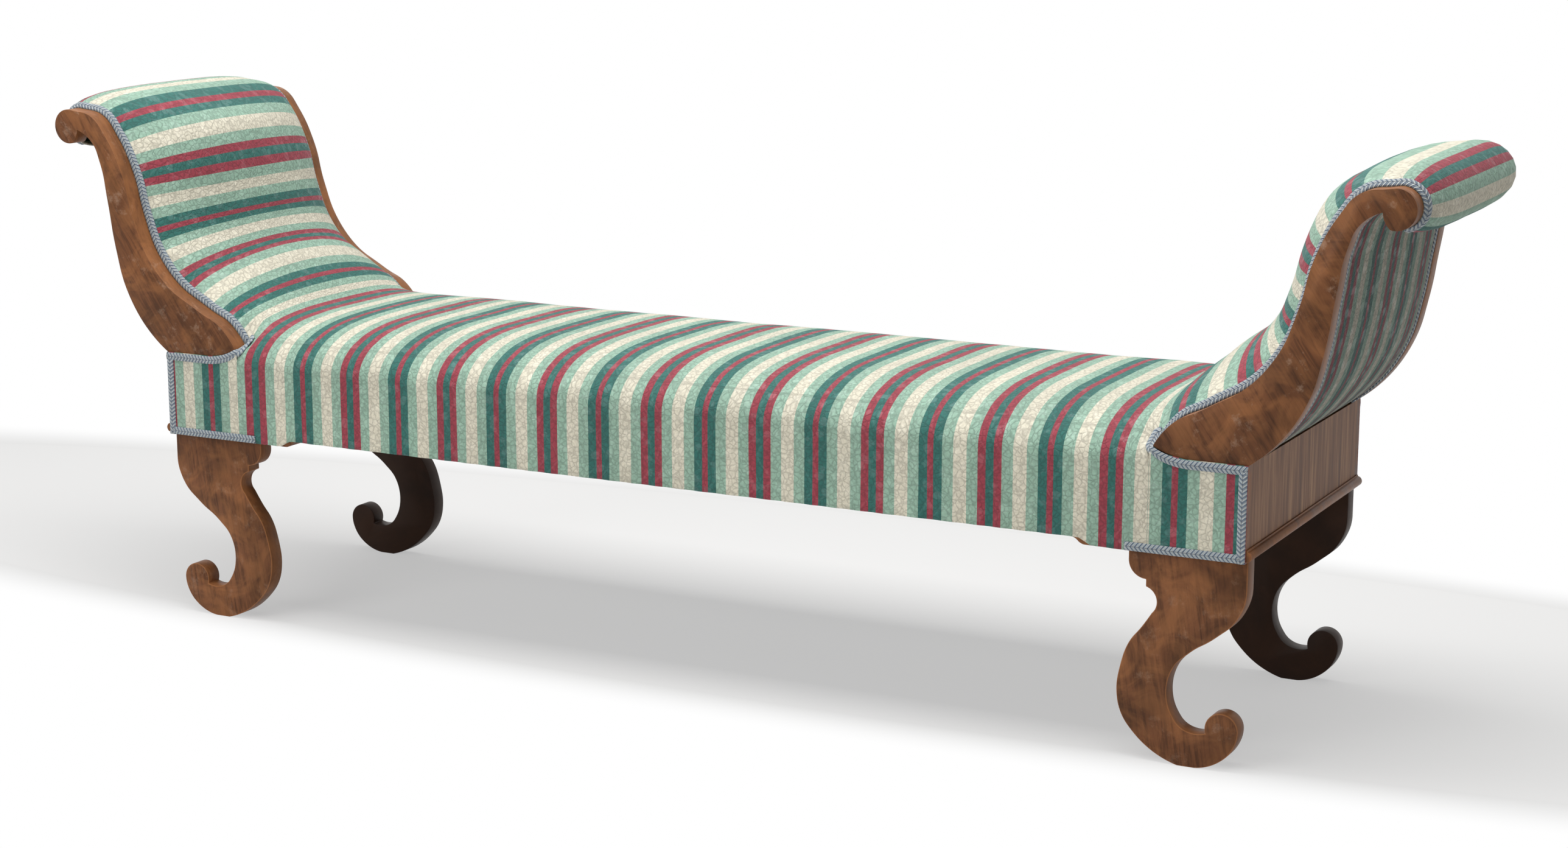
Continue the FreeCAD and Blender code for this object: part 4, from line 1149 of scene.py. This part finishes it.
class RECAMIER_OT_stage(bpy.types.Operator):
    """Makes the camera, the lights, the world and the floor"""

    bl_idname = "recamier.stage"
    bl_label = "Studio"

    def execute(self, context):
        scene = context.scene
        scene.view_settings.view_transform = "Standard"
        scene.camera = self.camera(scene.recamier_stage)
        self.floor()
        scene.world = self.world()
        self.lamp("top_light", (0.0, -0.3, 3.2), (0.0, 0.0, 0.4), size=(4.2, 2.2), power=175)
        self.lamp("front_light", (-1.4, -4.0, 2.2), (0.0, 0.0, 0.45), size=(2.4, 2.0), power=72)
        return {"FINISHED"}

    @staticmethod
    def camera(settings):
        """The camera that stands where the photograph was taken from."""
        data = bpy.data.cameras.new("camera")
        data.sensor_width = 36.0
        data.sensor_fit = "HORIZONTAL"
        data.lens = settings.lens
        made = placed("camera", data)
        made.location = settings.place
        made.rotation_euler = (math.pi / 2 - settings.elevation, 0.0, settings.azimuth)
        return made

    @staticmethod
    def floor():
        """White paper: lit round the part, and glowing evenly beyond a long oval."""
        bm = bmesh.new()
        bmesh.ops.create_grid(bm, x_segments=1, y_segments=1, size=40.0)
        mesh = bpy.data.meshes.new("floor")
        bm.to_mesh(mesh)
        bm.free()
        made = placed("floor", mesh)
        material, tree, shader = begin("floor_paper_white")
        fill(tree, shader, {"Base Color": linear("#F6F5F3"), "Roughness": 0.9,
                            "Specular IOR Level": 0.0})
        oval = mapped(tree, on_object(tree), Location=(0.0, -0.39, 0.0), Scale=(0.3, 1.3, 1.0))
        away = add(tree, "ShaderNodeVectorMath", {"operation": "LENGTH"},
                   {0: oval}).outputs["Value"]
        far = add(tree, "ShaderNodeMapRange", {"interpolation_type": "SMOOTHSTEP"},
                  {"Value": away, "From Min": 0.45, "From Max": 0.85}).outputs[0]

        # Near the part the glow is kept down to a tone and a share, so that shadows show
        tone, near_share = maths(tree, "MAXIMUM", far, 0.70), maths(tree, "MAXIMUM", far, 0.66)
        white = add(tree, "ShaderNodeEmission", inputs={"Color": (1, 1, 1, 1), "Strength": tone})
        share = maths(tree, "MULTIPLY", near_share, background_ray(tree))
        mixed = add(tree, "ShaderNodeMixShader",
                    inputs={0: share, 1: shader.outputs[0], 2: white.outputs[0]})
        output = next(n for n in tree.nodes if n.bl_idname == "ShaderNodeOutputMaterial")
        fill(tree, output, {"Surface": mixed.outputs[0]})
        made.data.materials.append(material)

    @staticmethod
    def world():
        """White as the background, and a fifth as bright where it lights the part."""
        world = bpy.data.worlds.new("studio")
        world.use_nodes = True
        tree = world.node_tree
        tree.nodes.clear()
        strength = add(tree, "ShaderNodeMapRange",
                       inputs={"Value": background_ray(tree), "To Min": 0.20, "To Max": 1.0})
        sky = add(tree, "ShaderNodeBackground",
                  inputs={"Color": (1, 1, 1, 1), "Strength": strength.outputs[0]})
        add(tree, "ShaderNodeOutputWorld", inputs={"Surface": sky.outputs[0]})
        return world

    @staticmethod
    def lamp(name, place, target, size, power):
        """A rectangular lamp that looks at a target, with its power in watts."""
        data = bpy.data.lights.new(name, "AREA")
        data.shape = "RECTANGLE"
        data.size, data.size_y = size
        data.energy = power
        made = placed(name, data)
        made.location = place
        aim = Vector(target) - Vector(place)
        made.rotation_euler = aim.to_track_quat("-Z", "Y").to_euler()


class RECAMIER_PT_panel(bpy.types.Panel):
    """Lists the pieces"""

    bl_idname = "RECAMIER_PT_panel"
    bl_label = "Recamier"
    bl_space_type = "VIEW_3D"
    bl_region_type = "UI"
    bl_category = "Recamier"

    def draw(self, context):
        for name, group in SETTINGS.items():
            box = self.layout.box()
            for item in group.__annotations__:
                box.prop(getattr(context.scene, name), item)
        for operator in OPERATORS:
            self.layout.operator(operator.bl_idname)


OPERATORS = (RECAMIER_OT_stage, RECAMIER_OT_upholstery, RECAMIER_OT_falls, RECAMIER_OT_outside,
             RECAMIER_OT_gimp, RECAMIER_OT_woodwork, RECAMIER_OT_inside)


def register():
    for item in list(SETTINGS.values()) + list(OPERATORS) + [RECAMIER_PT_panel]:
        bpy.utils.register_class(item)
    for name, group in SETTINGS.items():
        setattr(bpy.types.Scene, name, bpy.props.PointerProperty(type=group))


def unregister():
    for name in SETTINGS:
        delattr(bpy.types.Scene, name)
    for item in list(SETTINGS.values()) + list(OPERATORS) + [RECAMIER_PT_panel]:
        bpy.utils.unregister_class(item)


def main():
    register()
    bpy.ops.recamier.stage()
    bpy.ops.recamier.upholstery()
    bpy.ops.recamier.falls()
    bpy.ops.recamier.outside()
    bpy.ops.recamier.gimp()
    bpy.ops.recamier.woodwork()
    bpy.ops.recamier.inside()
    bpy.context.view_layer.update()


if __name__ == "__main__":
    main()
